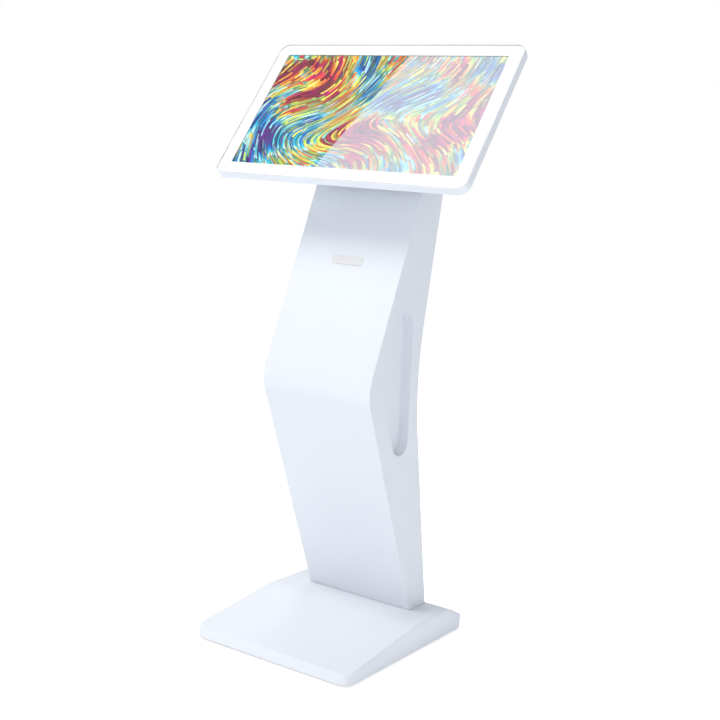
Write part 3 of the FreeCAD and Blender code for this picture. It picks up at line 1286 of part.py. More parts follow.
def screw_set(label, frame, spots, seat, tip):
    """M4 screws with their heads on one plane and their tips on another."""
    piece = Piece(label, frame)
    PIECES.remove(piece.body)
    head, shank = sorted((f"{seat}", f"{seat} + ({tip} > {seat} ? -1 : 1)*D.screw_head_thick"), key=num)
    piece.prism(rings(spots, "D.screw_head"), head, shank)
    low, high = sorted((seat, tip), key=num)
    piece.prism(rings(spots, "D.screw_radius"), low, high)
    return piece.body


def panel_screws():
    """All M4 panel screws in one group: rear cover flange, hatch and inlet."""
    spots = [(ring.centre[0], ring.centre[1]) for ring in inlet_screws()]
    inner = "(-D.column_sheet - 4)"
    sets = [screw_set("cover_screw_set", "head", cover_screws(), "(-D.frame_deep - D.cover_skin)",
                      "(-D.module_rear)"),
            screw_set("hatch_screw_set", "hatch", hatch_screws(), "D.hatch_thick", inner),
            screw_set("inlet_screw_set", "rear", spots, "D.inlet_flange", inner)]
    group = DOC.addObject("Part::Compound", "panel_screws")
    group.Links = sets
    group.Label = "panel_screws"
    PIECES.append(group)


def build():
    """Make every sub-part."""
    fill_sheet()
    base_cover()
    base_plate()
    base_hardware()
    levelling_feet()
    rear = column_panels()
    recess_pans()
    column_ends()
    column_trim()
    open_rear_panel(rear)
    door_parts()
    door_hinges()
    door_lock()
    power_inlet()
    rocker_switch()
    supply_box()
    supply_lead()
    lead_grommet()
    head_frame()
    display_stack()
    rear_cover()
    head_structure()
    electronics()
    fan()
    panel_screws()


def check_and_write():
    """Refuse a failed feature or a bad shape, then write one STEP file for each sub-part."""
    DOC.recompute()
    bad = [item.Name for item in DOC.Objects if {"Invalid", "Error"} & set(item.State)]
    for piece in PIECES:
        if piece.Shape.isNull() or not piece.Shape.isValid() or not piece.Shape.Solids:
            bad.append(piece.Label)
    if bad:
        raise RuntimeError(f"not built: {', '.join(bad)}")
    os.makedirs("parts", exist_ok=True)
    for piece in PIECES:
        piece.Shape.exportStep(os.path.join("parts", f"{piece.Label}.step"))
    print(f"{len(PIECES)} sub-parts written")


build()
check_and_write()
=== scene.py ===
"""Looks of a free-standing touchscreen kiosk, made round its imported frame.

The frame's nodes keep their shapes and get their finishes here. What the frame holds as plain solids
is modelled again in full, each piece riding on the body that it belongs to. Metres, +Z up, front
towards -Y.
"""
import json
import logging
import math
from dataclasses import dataclass
from enum import Enum
from typing import Callable, Optional, Sequence, Union

import bpy
from mathutils import Matrix, Vector


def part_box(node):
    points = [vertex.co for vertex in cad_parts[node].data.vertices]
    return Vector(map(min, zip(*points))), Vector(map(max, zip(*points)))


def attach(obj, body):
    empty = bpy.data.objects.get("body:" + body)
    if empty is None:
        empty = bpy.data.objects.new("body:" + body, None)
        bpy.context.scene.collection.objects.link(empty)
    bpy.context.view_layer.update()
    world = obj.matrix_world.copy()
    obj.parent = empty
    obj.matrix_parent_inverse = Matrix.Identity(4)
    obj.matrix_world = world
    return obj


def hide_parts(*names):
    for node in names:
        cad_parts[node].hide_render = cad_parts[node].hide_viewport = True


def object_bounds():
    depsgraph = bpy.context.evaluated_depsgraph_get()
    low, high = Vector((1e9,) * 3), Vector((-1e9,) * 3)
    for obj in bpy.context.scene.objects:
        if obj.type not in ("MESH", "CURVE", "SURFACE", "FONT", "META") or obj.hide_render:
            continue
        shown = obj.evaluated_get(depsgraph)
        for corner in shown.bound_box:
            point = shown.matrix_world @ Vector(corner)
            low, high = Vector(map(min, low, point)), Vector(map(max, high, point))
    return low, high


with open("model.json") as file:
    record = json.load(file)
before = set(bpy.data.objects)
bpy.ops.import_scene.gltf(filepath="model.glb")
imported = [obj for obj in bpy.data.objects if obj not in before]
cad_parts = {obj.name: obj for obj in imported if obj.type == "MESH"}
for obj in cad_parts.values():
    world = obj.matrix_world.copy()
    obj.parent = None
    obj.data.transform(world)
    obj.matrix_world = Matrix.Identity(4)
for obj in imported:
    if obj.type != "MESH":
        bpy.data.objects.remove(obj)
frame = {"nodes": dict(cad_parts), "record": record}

CAD_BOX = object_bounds()
MM = 0.001
LOG = logging.getLogger("kiosk")

Colour = tuple[float, float, float]
Triple = tuple[float, float, float]
Value = Union[float, bpy.types.NodeSocket]
Place = Union[Triple, bpy.types.NodeSocket]


# ---------------------------------------------------------------- places in the frame

@dataclass(frozen=True)
class Space:
    """Room that a node takes up, in axes of its own: x right, y up its face and z out of it.

    Attributes:
        matrix: Turns and moves a piece modelled at the origin into the node's place.
        size: Extent of the node along those axes.
    """

    matrix: Matrix
    size: Vector

    @staticmethod
    def facing(node: str, towards: Triple, upright: Triple = (0.0, 0.0, 1.0),
               side: Optional[Callable[[Vector], bool]] = None) -> "Space":
        """Measure a node along the normal of its largest flat face that looks a given way.

        Args:
            node: Name of the frame's node.
            towards: Rough direction that the face looks in.
            upright: Direction that comes closest to the space's y axis.
            side: Test that keeps only some of the node's vertices.

        Returns:
            The node's space, with its origin in the middle of it.
        """
        mesh = frame["nodes"][node].data
        goal = Vector(towards).normalized()
        areas: dict[tuple, float] = {}
        for face in mesh.polygons:
            lean = face.normal.dot(goal)
            if lean > 0.6:
                key = tuple(round(value, 3) for value in face.normal)
                areas[key] = areas.get(key, 0.0) + face.area * lean
        out = Vector(max(areas, key=areas.get)).normalized()
        right = Vector(upright).cross(out).normalized()
        turn = Matrix((right, out.cross(right), out)).transposed()
        inverse = turn.transposed()
        kept = [inverse @ v.co for v in mesh.vertices if side is None or side(v.co)]
        low = Vector([min(p[i] for p in kept) for i in range(3)])
        high = Vector([max(p[i] for p in kept) for i in range(3)])
        middle = turn @ ((low + high) / 2)
        return Space(Matrix.Translation(middle) @ turn.to_4x4(), high - low)

    def shifted(self, x: float = 0.0, y: float = 0.0, z: float = 0.0) -> Matrix:
        """Matrix of a point away from the middle of the space."""
        return self.matrix @ Matrix.Translation((x, y, z))


# ---------------------------------------------------------------- modelling

class Select(Enum):
    """What an edit-mode selection is made of."""

    EDGES = "edges"
    FACES = "faces"


class Bench:
    """Modelling steps that the pieces share. Every piece is shaped at the origin and then seated."""

    @staticmethod
    def clear() -> None:
        """Leave edit mode and deselect everything."""
        if bpy.context.mode != "OBJECT":
            bpy.ops.object.mode_set(mode="OBJECT")
        bpy.ops.object.select_all(action="DESELECT")

    @staticmethod
    def hold(piece: bpy.types.Object) -> bpy.types.Object:
        """Make one object the selected and active one."""
        Bench.clear()
        piece.select_set(True)
        bpy.context.view_layer.objects.active = piece
        return piece

    @staticmethod
    def _named(name: str) -> bpy.types.Object:
        """Name the new primitive and apply its size."""
        piece = bpy.context.active_object
        piece.name = piece.data.name = name
        bpy.ops.object.transform_apply(location=True, rotation=True, scale=True)
        return piece

    @staticmethod
    def block(name: str, size: Sequence[float], middle: Triple = (0.0, 0.0, 0.0)) -> bpy.types.Object:
        """Add a box of a size, to be shaped further."""
        Bench.clear()
        bpy.ops.mesh.primitive_cube_add(size=1, location=middle, scale=size)
        return Bench._named(name)

    @staticmethod
    def disc(name: str, radius: float, tall: float, middle: Triple = (0.0, 0.0, 0.0),
             sides: int = 48) -> bpy.types.Object:
        """Add a cylinder along z, to be shaped further."""
        Bench.clear()
        bpy.ops.mesh.primitive_cylinder_add(vertices=sides, radius=radius, depth=tall, location=middle)
        return Bench._named(name)

    @staticmethod
    def sheet(name: str, wide: float, tall: float, columns: int, rows: int,
              middle: Triple = (0.0, 0.0, 0.0)) -> bpy.types.Object:
        """Add a flat grid of a size, to be shaped further."""
        Bench.clear()
        bpy.ops.mesh.primitive_grid_add(x_subdivisions=columns, y_subdivisions=rows, size=1, location=middle)
        bpy.context.active_object.scale = (wide, tall, 1.0)
        return Bench._named(name)

    @staticmethod
    def pick(piece: bpy.types.Object, kind: Select, test: Callable[..., bool]) -> int:
        """Go into edit mode with the edges or faces that pass a test selected.

        Args:
            piece: Object to edit.
            kind: Whether edges or faces are picked.
            test: Takes an edge's two ends, or a face's middle and normal.

        Returns:
            How many were picked.
        """
        Bench.hold(piece)
        bpy.ops.object.mode_set(mode="EDIT")
        bpy.context.tool_settings.mesh_select_mode = (False, kind is Select.EDGES, kind is Select.FACES)
        bpy.ops.mesh.select_all(action="DESELECT")
        bpy.ops.object.mode_set(mode="OBJECT")
        mesh, count = piece.data, 0
        if kind is Select.EDGES:
            for edge in mesh.edges:
                edge.select = test(*(mesh.vertices[i].co for i in edge.vertices))
                count += edge.select
        else:
            for face in mesh.polygons:
                face.select = test(face.center, face.normal)
                count += face.select
        bpy.ops.object.mode_set(mode="EDIT")
        return count

    @staticmethod
    def bevel(piece: bpy.types.Object, test: Callable[..., bool], width: float, segments: int = 3) -> None:
        """Round the edges that pass a test."""
        if Bench.pick(piece, Select.EDGES, test):
            bpy.ops.mesh.bevel(offset=width, segments=segments, affect="EDGES", profile=0.5)
        Bench.clear()

    @staticmethod
    def inset(piece: bpy.types.Object, test: Callable[..., bool], border: float, depth: float) -> None:
        """Inset the faces that pass a test and move them in or out."""
        if Bench.pick(piece, Select.FACES, test):
            bpy.ops.mesh.inset(thickness=border, depth=0.0)
            bpy.ops.mesh.extrude_region_shrink_fatten(TRANSFORM_OT_shrink_fatten={"value": depth})
        Bench.clear()

    @staticmethod
    def modify(piece: bpy.types.Object, kind: str, **settings: object) -> None:
        """Add a modifier with its settings and apply it."""
        Bench.hold(piece)
        modifier = piece.modifiers.new(kind.lower(), kind)
        for name, value in settings.items():
            setattr(modifier, name, value)
        bpy.ops.object.modifier_apply(modifier=modifier.name)

    @staticmethod
    def soften(piece: bpy.types.Object, width: float, segments: int = 2, angle: float = 40.0) -> None:
        """Round every sharp edge a little and shade the faces smooth between them."""
        Bench.modify(piece, "BEVEL", width=width, segments=segments, limit_method="ANGLE",
                     angle_limit=math.radians(angle), harden_normals=False)
        Bench.hold(piece)
        bpy.ops.object.shade_smooth_by_angle(angle=math.radians(angle))
        Bench.modify(piece, "WEIGHTED_NORMAL", mode="FACE_AREA", weight=50, keep_sharp=True)

    @staticmethod
    def repeat(piece: bpy.types.Object, places: Sequence[Triple],
               turns: Optional[Sequence[float]] = None) -> list[bpy.types.Object]:
        """Copy a piece to several places, each copy with its own mesh, and remove the pattern.

        Args:
            piece: The piece that is copied.
            places: Where each copy goes.
            turns: Turn of each copy about z, in radians.

        Returns:
            The copies.
        """
        made = []
        for number, spot in enumerate(places):
            copy = piece.copy()
            copy.data = piece.data.copy()
            bpy.context.scene.collection.objects.link(copy)
            turn = turns[number] if turns else 0.0
            copy.data.transform(Matrix.Translation(spot) @ Matrix.Rotation(turn, 4, "Z"))
            made.append(copy)
        bpy.data.objects.remove(piece)
        return made

    @staticmethod
    def row(piece: bpy.types.Object, count: int, step: float) -> None:
        """Repeat a piece along x inside its own mesh."""
        Bench.modify(piece, "ARRAY", count=count, use_relative_offset=False, use_constant_offset=True,
                     constant_offset_displace=(step, 0, 0))

    @staticmethod
    def screw(name: str, radius: float, tall: float, rim: float, socket: float,
              level: float = 0.0) -> bpy.types.Object:
        """Screw head with a round socket, to be repeated."""
        head = Bench.disc(name, radius, tall, (0, 0, level), 24)
        Bench.inset(head, looks_up, rim, -socket)
        Bench.soften(head, 0.25 * MM, 2)
        return head

    @staticmethod
    def join(name: str, parts: Sequence[bpy.types.Object]) -> bpy.types.Object:
        """Join several parts into one piece."""
        Bench.clear()
        for part in parts:
            part.select_set(True)
        bpy.context.view_layer.objects.active = parts[0]
        if len(parts) > 1:
            bpy.ops.object.join()
        parts[0].name = parts[0].data.name = name
        return parts[0]

    @staticmethod
    def spin(name: str, outline: Sequence[tuple[float, float]], steps: int = 56) -> bpy.types.Object:
        """Turn an outline of radius and height about z into a closed piece.

        Args:
            name: Name of the piece.
            outline: Points of radius and height, from one end to the other.
            steps: Steps of the full turn.

        Returns:
            The turned piece, shaded smooth up to 35 degrees.
        """
        Bench.clear()
        bpy.ops.mesh.primitive_plane_add(size=1)
        piece = bpy.context.active_object
        piece.name = piece.data.name = name
        bpy.ops.object.mode_set(mode="EDIT")
        bpy.context.tool_settings.mesh_select_mode = (True, False, False)
        bpy.ops.mesh.select_all(action="SELECT")
        bpy.ops.mesh.merge(type="CENTER")
        bpy.ops.transform.translate(value=(outline[0][0], 0.0, outline[0][1]))
        for (r0, z0), (r1, z1) in zip(outline, outline[1:]):
            bpy.ops.mesh.extrude_vertices_move(TRANSFORM_OT_translate={"value": (r1 - r0, 0.0, z1 - z0)})
        bpy.ops.mesh.select_all(action="SELECT")
        bpy.ops.mesh.spin(steps=steps, angle=math.tau, center=(0, 0, 0), axis=(0, 0, 1))
        bpy.ops.mesh.select_all(action="SELECT")
        bpy.ops.mesh.remove_doubles(threshold=1e-6)
        bpy.ops.mesh.normals_make_consistent(inside=False)
        Bench.hold(piece)
        bpy.ops.object.shade_smooth_by_angle(angle=math.radians(35))
        return piece

    @staticmethod
    def seat(piece: bpy.types.Object, matrix: Matrix) -> bpy.types.Object:
        """Move a finished piece into its place, with the place in its mesh."""
        Bench.hold(piece)
        piece.matrix_world = matrix
        bpy.ops.object.transform_apply(location=True, rotation=True, scale=True)
        return piece


def upright(a: Vector, b: Vector) -> bool:
    """Tell whether an edge runs along z."""
    return abs(a.x - b.x) < 1e-6 and abs(a.y - b.y) < 1e-6 and abs(a.z - b.z) > 1e-6


def looks_up(middle: Vector, normal: Vector) -> bool:
    """Tell whether a face looks along +z."""
    return normal.z > 0.9


def four_corners(x: float, y: float) -> list[Triple]:
    """Places of four equal things at the corners of a rectangle."""
    return [(i * x, j * y, 0.0) for i in (-1, 1) for j in (-1, 1)]


# ---------------------------------------------------------------- node graphs

class Graph:
    """A node tree that is being wired up."""

    def __init__(self, tree: bpy.types.NodeTree) -> None:
        """Keep the tree."""
        self.tree = tree

    def node(self, kind: str, **settings: object) -> bpy.types.Node:
        """Add a node and set its properties."""
        made = self.tree.nodes.new("ShaderNode" + kind)
        for name, value in settings.items():
            setattr(made, name, value)
        return made

    def put(self, target: bpy.types.NodeSocket, value: object) -> None:
        """Link a socket to a target, or set the target's own value."""
        if isinstance(value, bpy.types.NodeSocket):
            self.tree.links.new(value, target)
        elif value is not None:
            target.default_value = value

    def fill(self, node: bpy.types.Node, values: dict[str, object]) -> None:
        """Link or set several inputs of a node, by name."""
        for name, value in values.items():
            self.put(node.inputs[name], value)

    def math(self, operation: str, *values: Value) -> bpy.types.NodeSocket:
        """Add a Math node over one to three values and return its result."""
        made = self.node("Math", operation=operation)
        for socket, value in zip(made.inputs, values):
            self.put(socket, value)
        return made.outputs[0]

    def vector(self, operation: str, *values: Union[Place, Value]) -> bpy.types.NodeSocket:
        """Add a Vector Math node and return its vector, or its number where it gives one."""
        made = self.node("VectorMath", operation=operation)
        for socket, value in zip(made.inputs, values):
            self.put(socket, value)
        numbers = operation in {"LENGTH", "DISTANCE", "DOT_PRODUCT"}
        return made.outputs["Value" if numbers else "Vector"]

    def noise(self, place: Place, scale: float, detail: float = 2.0, rough: float = 0.5) -> bpy.types.Node:
        """Add a noise texture over a place."""
        made = self.node("TexNoise")
        self.fill(made, {"Vector": place, "Scale": scale, "Detail": detail, "Roughness": rough})
        return made

    def blend(self, share: Value, first: object, second: object,
              mode: str = "MIX") -> bpy.types.NodeSocket:
        """Mix two colours and return the mixed one."""
        made = self.node("Mix", data_type="RGBA", blend_type=mode, clamp_factor=True)
        self.put(made.inputs["Factor"], share)
        for name, value in (("A", first), ("B", second)):
            socket = next(s for s in made.inputs if s.name == name and s.type == "RGBA")
            self.put(socket, (*value, 1.0) if isinstance(value, tuple) and len(value) == 3 else value)
        return next(s for s in made.outputs if s.type == "RGBA")

    def spread(self, value: Value, low: float, high: float, to_low: float,
               to_high: float) -> bpy.types.NodeSocket:
        """Map a range of values to another and clamp it."""
        made = self.node("MapRange", clamp=True)
        for socket, number in zip(made.inputs, (value, low, high, to_low, to_high)):
            self.put(socket, number)
        return made.outputs[0]

    def ramp(self, value: Value, stops: Sequence[tuple[float, Colour]]) -> bpy.types.NodeSocket:
        """Add a colour ramp over a value."""
        made = self.node("ValToRGB")
        elements = made.color_ramp.elements
        while len(elements) < len(stops):
            elements.new(1.0)
        for element, (position, colour) in zip(elements, stops):
            element.position = position
            element.color = (*colour, 1.0)
        self.put(made.inputs[0], value)
        return made.outputs[0]

    def apart(self, place: Place) -> tuple[bpy.types.NodeSocket, ...]:
        """Split a place into x, y and z."""
        made = self.node("SeparateXYZ")
        self.put(made.inputs[0], place)
        return tuple(made.outputs)

    def flat(self, x: Value, y: Value) -> bpy.types.NodeSocket:
        """Make a place at height nought."""
        made = self.node("CombineXYZ")
        self.fill(made, {"X": x, "Y": y})
        return made.outputs[0]

    def scaled(self, vector: Place, share: Value) -> bpy.types.NodeSocket:
        """Multiply a vector or colour by a value."""
        made = self.node("VectorMath", operation="SCALE")
        self.put(made.inputs[0], vector)
        self.put(made.inputs["Scale"], share)
        return made.outputs["Vector"]

    def relief(self, shader: bpy.types.Node, height: Value, depth: float) -> None:
        """Give a shader a relief of a depth."""
        bump = self.node("Bump")
        self.fill(bump, {"Strength": 1.0, "Distance": depth, "Height": height})
        self.put(shader.inputs["Normal"], bump.outputs[0])

    def place(self) -> bpy.types.NodeSocket:
        """Object coordinates, which are metres in the frame."""
        return self.node("TexCoord").outputs["Object"]

    def effect(self, effect: "Effect", **values: object) -> bpy.types.Node:
        """Add a shared effect with its own values."""
        made = self.node("Group", node_tree=effect.tree())
        for name, value in values.items():
            self.put(made.inputs[name.capitalize()], value)
        return made


class Effect(Enum):
    """Effects that several finishes use, each a node group built once."""

    GRAIN = "coat_grain"
    BRUSHED = "brushed_lines"
    SPANGLE = "zinc_spangle"
    CELLS = "foam_cells"
    HANDLING = "handling_marks"
    SWIRL = "swirl_of_strokes"

    def tree(self) -> bpy.types.NodeTree:
        """Give the effect's group, and build it the first time."""
        known = bpy.data.node_groups.get(self.value)
        return known or EFFECT_BUILDERS[self](self.value)


def new_group(name: str, inputs: dict[str, object],
              outputs: dict[str, str]) -> tuple[Graph, dict, bpy.types.Node]:
    """Make an empty node group with its sockets.

    Args:
        name: Name of the group.
        inputs: Default value by input name; a tuple makes a vector socket.
        outputs: Kind of socket by output name.

    Returns:
        The graph, the input sockets by name, and the output node.
    """
    tree = bpy.data.node_groups.new(name, "ShaderNodeTree")
    for label, value in inputs.items():
        kind = "NodeSocketVector" if isinstance(value, tuple) else "NodeSocketFloat"
        socket = tree.interface.new_socket(name=label, in_out="INPUT", socket_type=kind)
        socket.default_value = value
    for label, kind in outputs.items():
        tree.interface.new_socket(name=label, in_out="OUTPUT", socket_type="NodeSocket" + kind)
    graph = Graph(tree)
    entry = tree.nodes.new("NodeGroupInput")
    end = tree.nodes.new("NodeGroupOutput")
    return graph, {label: entry.outputs[label] for label in inputs}, end


def build_grain(name: str) -> bpy.types.NodeTree:
    """Fine orange-peel relief, a broad change of tone and a change of gloss."""
    graph, given, end = new_group(name, {"Place": (0.0, 0.0, 0.0), "Size": 0.001},
                                  {"Height": "Float", "Tone": "Float", "Gloss": "Float"})
    size = graph.node("CombineXYZ")
    for socket in size.inputs:
        graph.put(socket, given["Size"])
    scaled = graph.vector("DIVIDE", given["Place"], size.outputs[0])
    fine = graph.noise(scaled, 1.0, 2.0).outputs["Fac"]
    coarse = graph.noise(scaled, 0.28, 1.0).outputs["Fac"]
    height = graph.math("ADD", graph.math("MULTIPLY", fine, 0.6), graph.math("MULTIPLY", coarse, 0.4))
    graph.fill(end, {"Height": height, "Tone": graph.noise(given["Place"], 5.0, 4.0).outputs["Fac"],
                     "Gloss": graph.noise(given["Place"], 17.0, 5.0, 0.6).outputs["Fac"]})
    return graph.tree


def build_brushed(name: str) -> bpy.types.NodeTree:
    """Fine lines drawn out along one way."""
    graph, given, end = new_group(name, {"Place": (0.0, 0.0, 0.0), "Stretch": (1.0, 1.0, 1.0)},
                                  {"Height": "Float", "Tone": "Float"})
    drawn = graph.vector("MULTIPLY", given["Place"], given["Stretch"])
    graph.fill(end, {"Height": graph.noise(drawn, 900.0, 3.0, 0.6).outputs["Fac"],
                     "Tone": graph.noise(drawn, 120.0, 2.0).outputs["Fac"]})
    return graph.tree


def build_spangle(name: str) -> bpy.types.NodeTree:
    """Crystal patches of a zinc coating."""
    graph, given, end = new_group(name, {"Place": (0.0, 0.0, 0.0), "Size": 0.004},
                                  {"Tone": "Float", "Height": "Float"})
    warp = graph.noise(given["Place"], 160.0, 2.0).outputs["Color"]
    bent = graph.vector("ADD", given["Place"], graph.vector("MULTIPLY", warp, (0.003, 0.003, 0.003)))
    patch = graph.node("TexVoronoi")
    graph.fill(patch, {"Vector": bent, "Scale": graph.math("DIVIDE", 1.0, given["Size"])})
    graph.put(end.inputs["Tone"], graph.vector("DOT_PRODUCT", patch.outputs["Color"], (0.4, 0.3, 0.3)))
    graph.put(end.inputs["Height"], graph.noise(given["Place"], 1400.0, 2.0).outputs["Fac"])
    return graph.tree


def build_cells(name: str) -> bpy.types.NodeTree:
    """Open cells of foam or the skin of rubber."""
    graph, given, end = new_group(name, {"Place": (0.0, 0.0, 0.0), "Size": 0.0006},
                                  {"Height": "Float", "Tone": "Float"})
    cell = graph.node("TexVoronoi")
    graph.fill(cell, {"Vector": given["Place"], "Scale": graph.math("DIVIDE", 1.0, given["Size"])})
    graph.fill(end, {"Height": cell.outputs["Distance"],
                     "Tone": graph.noise(given["Place"], 60.0, 4.0).outputs["Fac"]})
    return graph.tree


def build_handling(name: str) -> bpy.types.NodeTree:
    """Wiped film and faint marks of hands on a polished surface."""
    graph, given, end = new_group(name, {"Place": (0.0, 0.0, 0.0)}, {"Film": "Float"})
    drawn = graph.vector("MULTIPLY", given["Place"], (9.0, 26.0, 26.0))
    wiped = graph.noise(drawn, 1.0, 5.0, 0.65).outputs["Fac"]
    spots = graph.noise(given["Place"], 34.0, 6.0, 0.7).outputs["Fac"]
    both = graph.math("MULTIPLY", graph.spread(wiped, 0.45, 0.7, 0.0, 1.0),
                      graph.spread(spots, 0.4, 0.7, 0.2, 1.0))
    graph.put(end.inputs["Film"], both)
    return graph.tree


def build_swirl(name: str) -> bpy.types.NodeTree:
    """Turn a flat pattern about a centre, most at the centre and less further out."""
    graph, given, end = new_group(name, {"Place": (0.0, 0.0, 0.0), "Centre": (0.0, 0.0, 0.0), "Reach": 0.1,
                                         "Turn": 1.0}, {"Place": "Vector"})
    away = graph.math("DIVIDE", graph.vector("DISTANCE", given["Place"], given["Centre"]), given["Reach"])
    fade = graph.math("EXPONENT", graph.math("MULTIPLY", graph.math("MULTIPLY", away, away), -1.0))
    turn = graph.node("VectorRotate", rotation_type="Z_AXIS")
    graph.fill(turn, {"Vector": given["Place"], "Center": given["Centre"],
                      "Angle": graph.math("MULTIPLY", fade, given["Turn"])})
    graph.put(end.inputs["Place"], turn.outputs[0])
    return graph.tree


EFFECT_BUILDERS: dict[Effect, Callable[[str], bpy.types.NodeTree]] = {
    Effect.GRAIN: build_grain,
    Effect.BRUSHED: build_brushed,
    Effect.SPANGLE: build_spangle,
    Effect.CELLS: build_cells,
    Effect.HANDLING: build_handling,
    Effect.SWIRL: build_swirl,
}


# ---------------------------------------------------------------- finishes

@dataclass(frozen=True)
class Finish:
    """A finish made of one shader with an effect over it.

    Attributes:
        colour: Base colour, linear.
        roughness: Middle roughness.
        metallic: 1 for bare metal.
        surface: Which effect textures it.
        size: Size of the grain in metres.
        relief: Depth of the grain in metres.
        tone: How far the colour changes, as a share.
        gloss: How far the roughness changes.
        coat: Weight of a clear coat.
        stretch: Scale of brushed lines along x, y and z.
    """

    colour: Colour
    roughness: float
    metallic: float = 0.0
    surface: Effect = Effect.GRAIN
    size: float = 0.0008
    relief: float = 0.00002
    tone: float = 0.04
    gloss: float = 0.08
    coat: float = 0.0
    stretch: Triple = (1.0, 1.0, 0.02)

    def make(self, name: str) -> bpy.types.Material:
        """Build the material.

        Args:
            name: Name of the material, which is its slot's.

        Returns:
            The material.
        """
        material, graph, shader = new_material(name)
        place = graph.place()
        brushed = self.surface is Effect.BRUSHED
        given = {"stretch": self.stretch} if brushed else {"size": self.size}
        made = graph.effect(self.surface, place=place, **given)
        tone, height = made.outputs["Tone"], made.outputs["Height"]
        gloss = made.outputs["Gloss"] if "Gloss" in made.outputs else tone
        dark = tuple(c * (1 - self.tone) for c in self.colour)
        light = tuple(min(1.0, c * (1 + self.tone)) for c in self.colour)
        share = graph.spread(tone, 0.3, 0.7, 0.0, 1.0)
        low, high = max(0.02, self.roughness - self.gloss), min(1.0, self.roughness + self.gloss)
        graph.relief(shader, height, self.relief)
        graph.fill(shader, {"Base Color": graph.blend(share, dark, light), "Metallic": self.metallic,
                            "Roughness": graph.spread(gloss, 0.3, 0.7, low, high),
                            "Coat Weight": self.coat, "Coat Roughness": 0.08})
        return material


def new_material(name: str) -> tuple[bpy.types.Material, Graph, bpy.types.Node]:
    """Make a material with its shader.

    Args:
        name: Name of the material.

    Returns:
        The material, its graph and its Principled shader.
    """
    material = bpy.data.materials.new(name)
    material.use_nodes = True
    graph = Graph(material.node_tree)
    shader = next(n for n in material.node_tree.nodes if n.type == "BSDF_PRINCIPLED")
    return material, graph, shader


@dataclass(frozen=True)
class Glass:
    """Clear glass that lets the lamps through to what lies behind it.

    Attributes:
        tint: Colour of the glass, linear.
        index: Index of refraction.
        film: Roughness where the glass has been wiped and touched.
    """

    tint: Colour
    index: float
    film: float

    def make(self, name: str) -> bpy.types.Material:
        """Build the material under a name."""
        material, graph, shader = new_material(name)
        marks = graph.effect(Effect.HANDLING, place=graph.place()).outputs["Film"]
        wiped = tuple(c * 0.97 for c in self.tint)
        shadow = graph.node("LightPath").outputs["Is Shadow Ray"]
        graph.fill(shader, {"Roughness": graph.spread(marks, 0.0, 1.0, 0.01, self.film),
                            "Base Color": graph.blend(marks, self.tint, wiped), "IOR": self.index,
                            "Transmission Weight": 1.0,
                            "Alpha": graph.math("SUBTRACT", 1.0, graph.math("MULTIPLY", shadow, 0.94))})
        return material


# Paints of the picture, from violet round to umber.
PAINTS: tuple[tuple[float, Colour], ...] = (
    (0.0, (0.16, 0.01, 0.22)), (0.09, (0.01, 0.03, 0.30)), (0.19, (0.0, 0.22, 0.72)),
    (0.29, (0.02, 0.62, 0.72)), (0.37, (0.62, 0.90, 0.94)), (0.44, (0.02, 0.34, 0.26)),
    (0.51, (0.58, 0.80, 0.10)), (0.59, (1.0, 0.84, 0.18)), (0.68, (0.98, 0.40, 0.02)),
    (0.78, (0.85, 0.06, 0.02)), (0.88, (0.55, 0.0, 0.16)), (1.0, (0.14, 0.03, 0.01)))
# Centre, reach and turn of the swirls that bend the strokes.
SWIRLS: tuple[tuple[Triple, float, float], ...] = (
    ((-0.17, 0.02, 0.0), 0.14, 1.2), ((-0.02, -0.09, 0.0), 0.12, -0.7),
    ((0.07, 0.07, 0.0), 0.14, 1.0), ((0.21, -0.07, 0.0), 0.15, -0.6))
# Width and length of the strokes, and where their lanes start.
STROKE_LAYERS: tuple[Triple, ...] = (
    (0.0125, 0.055, 0.0), (0.0085, 0.042, 0.37), (0.0046, 0.03, 0.81))


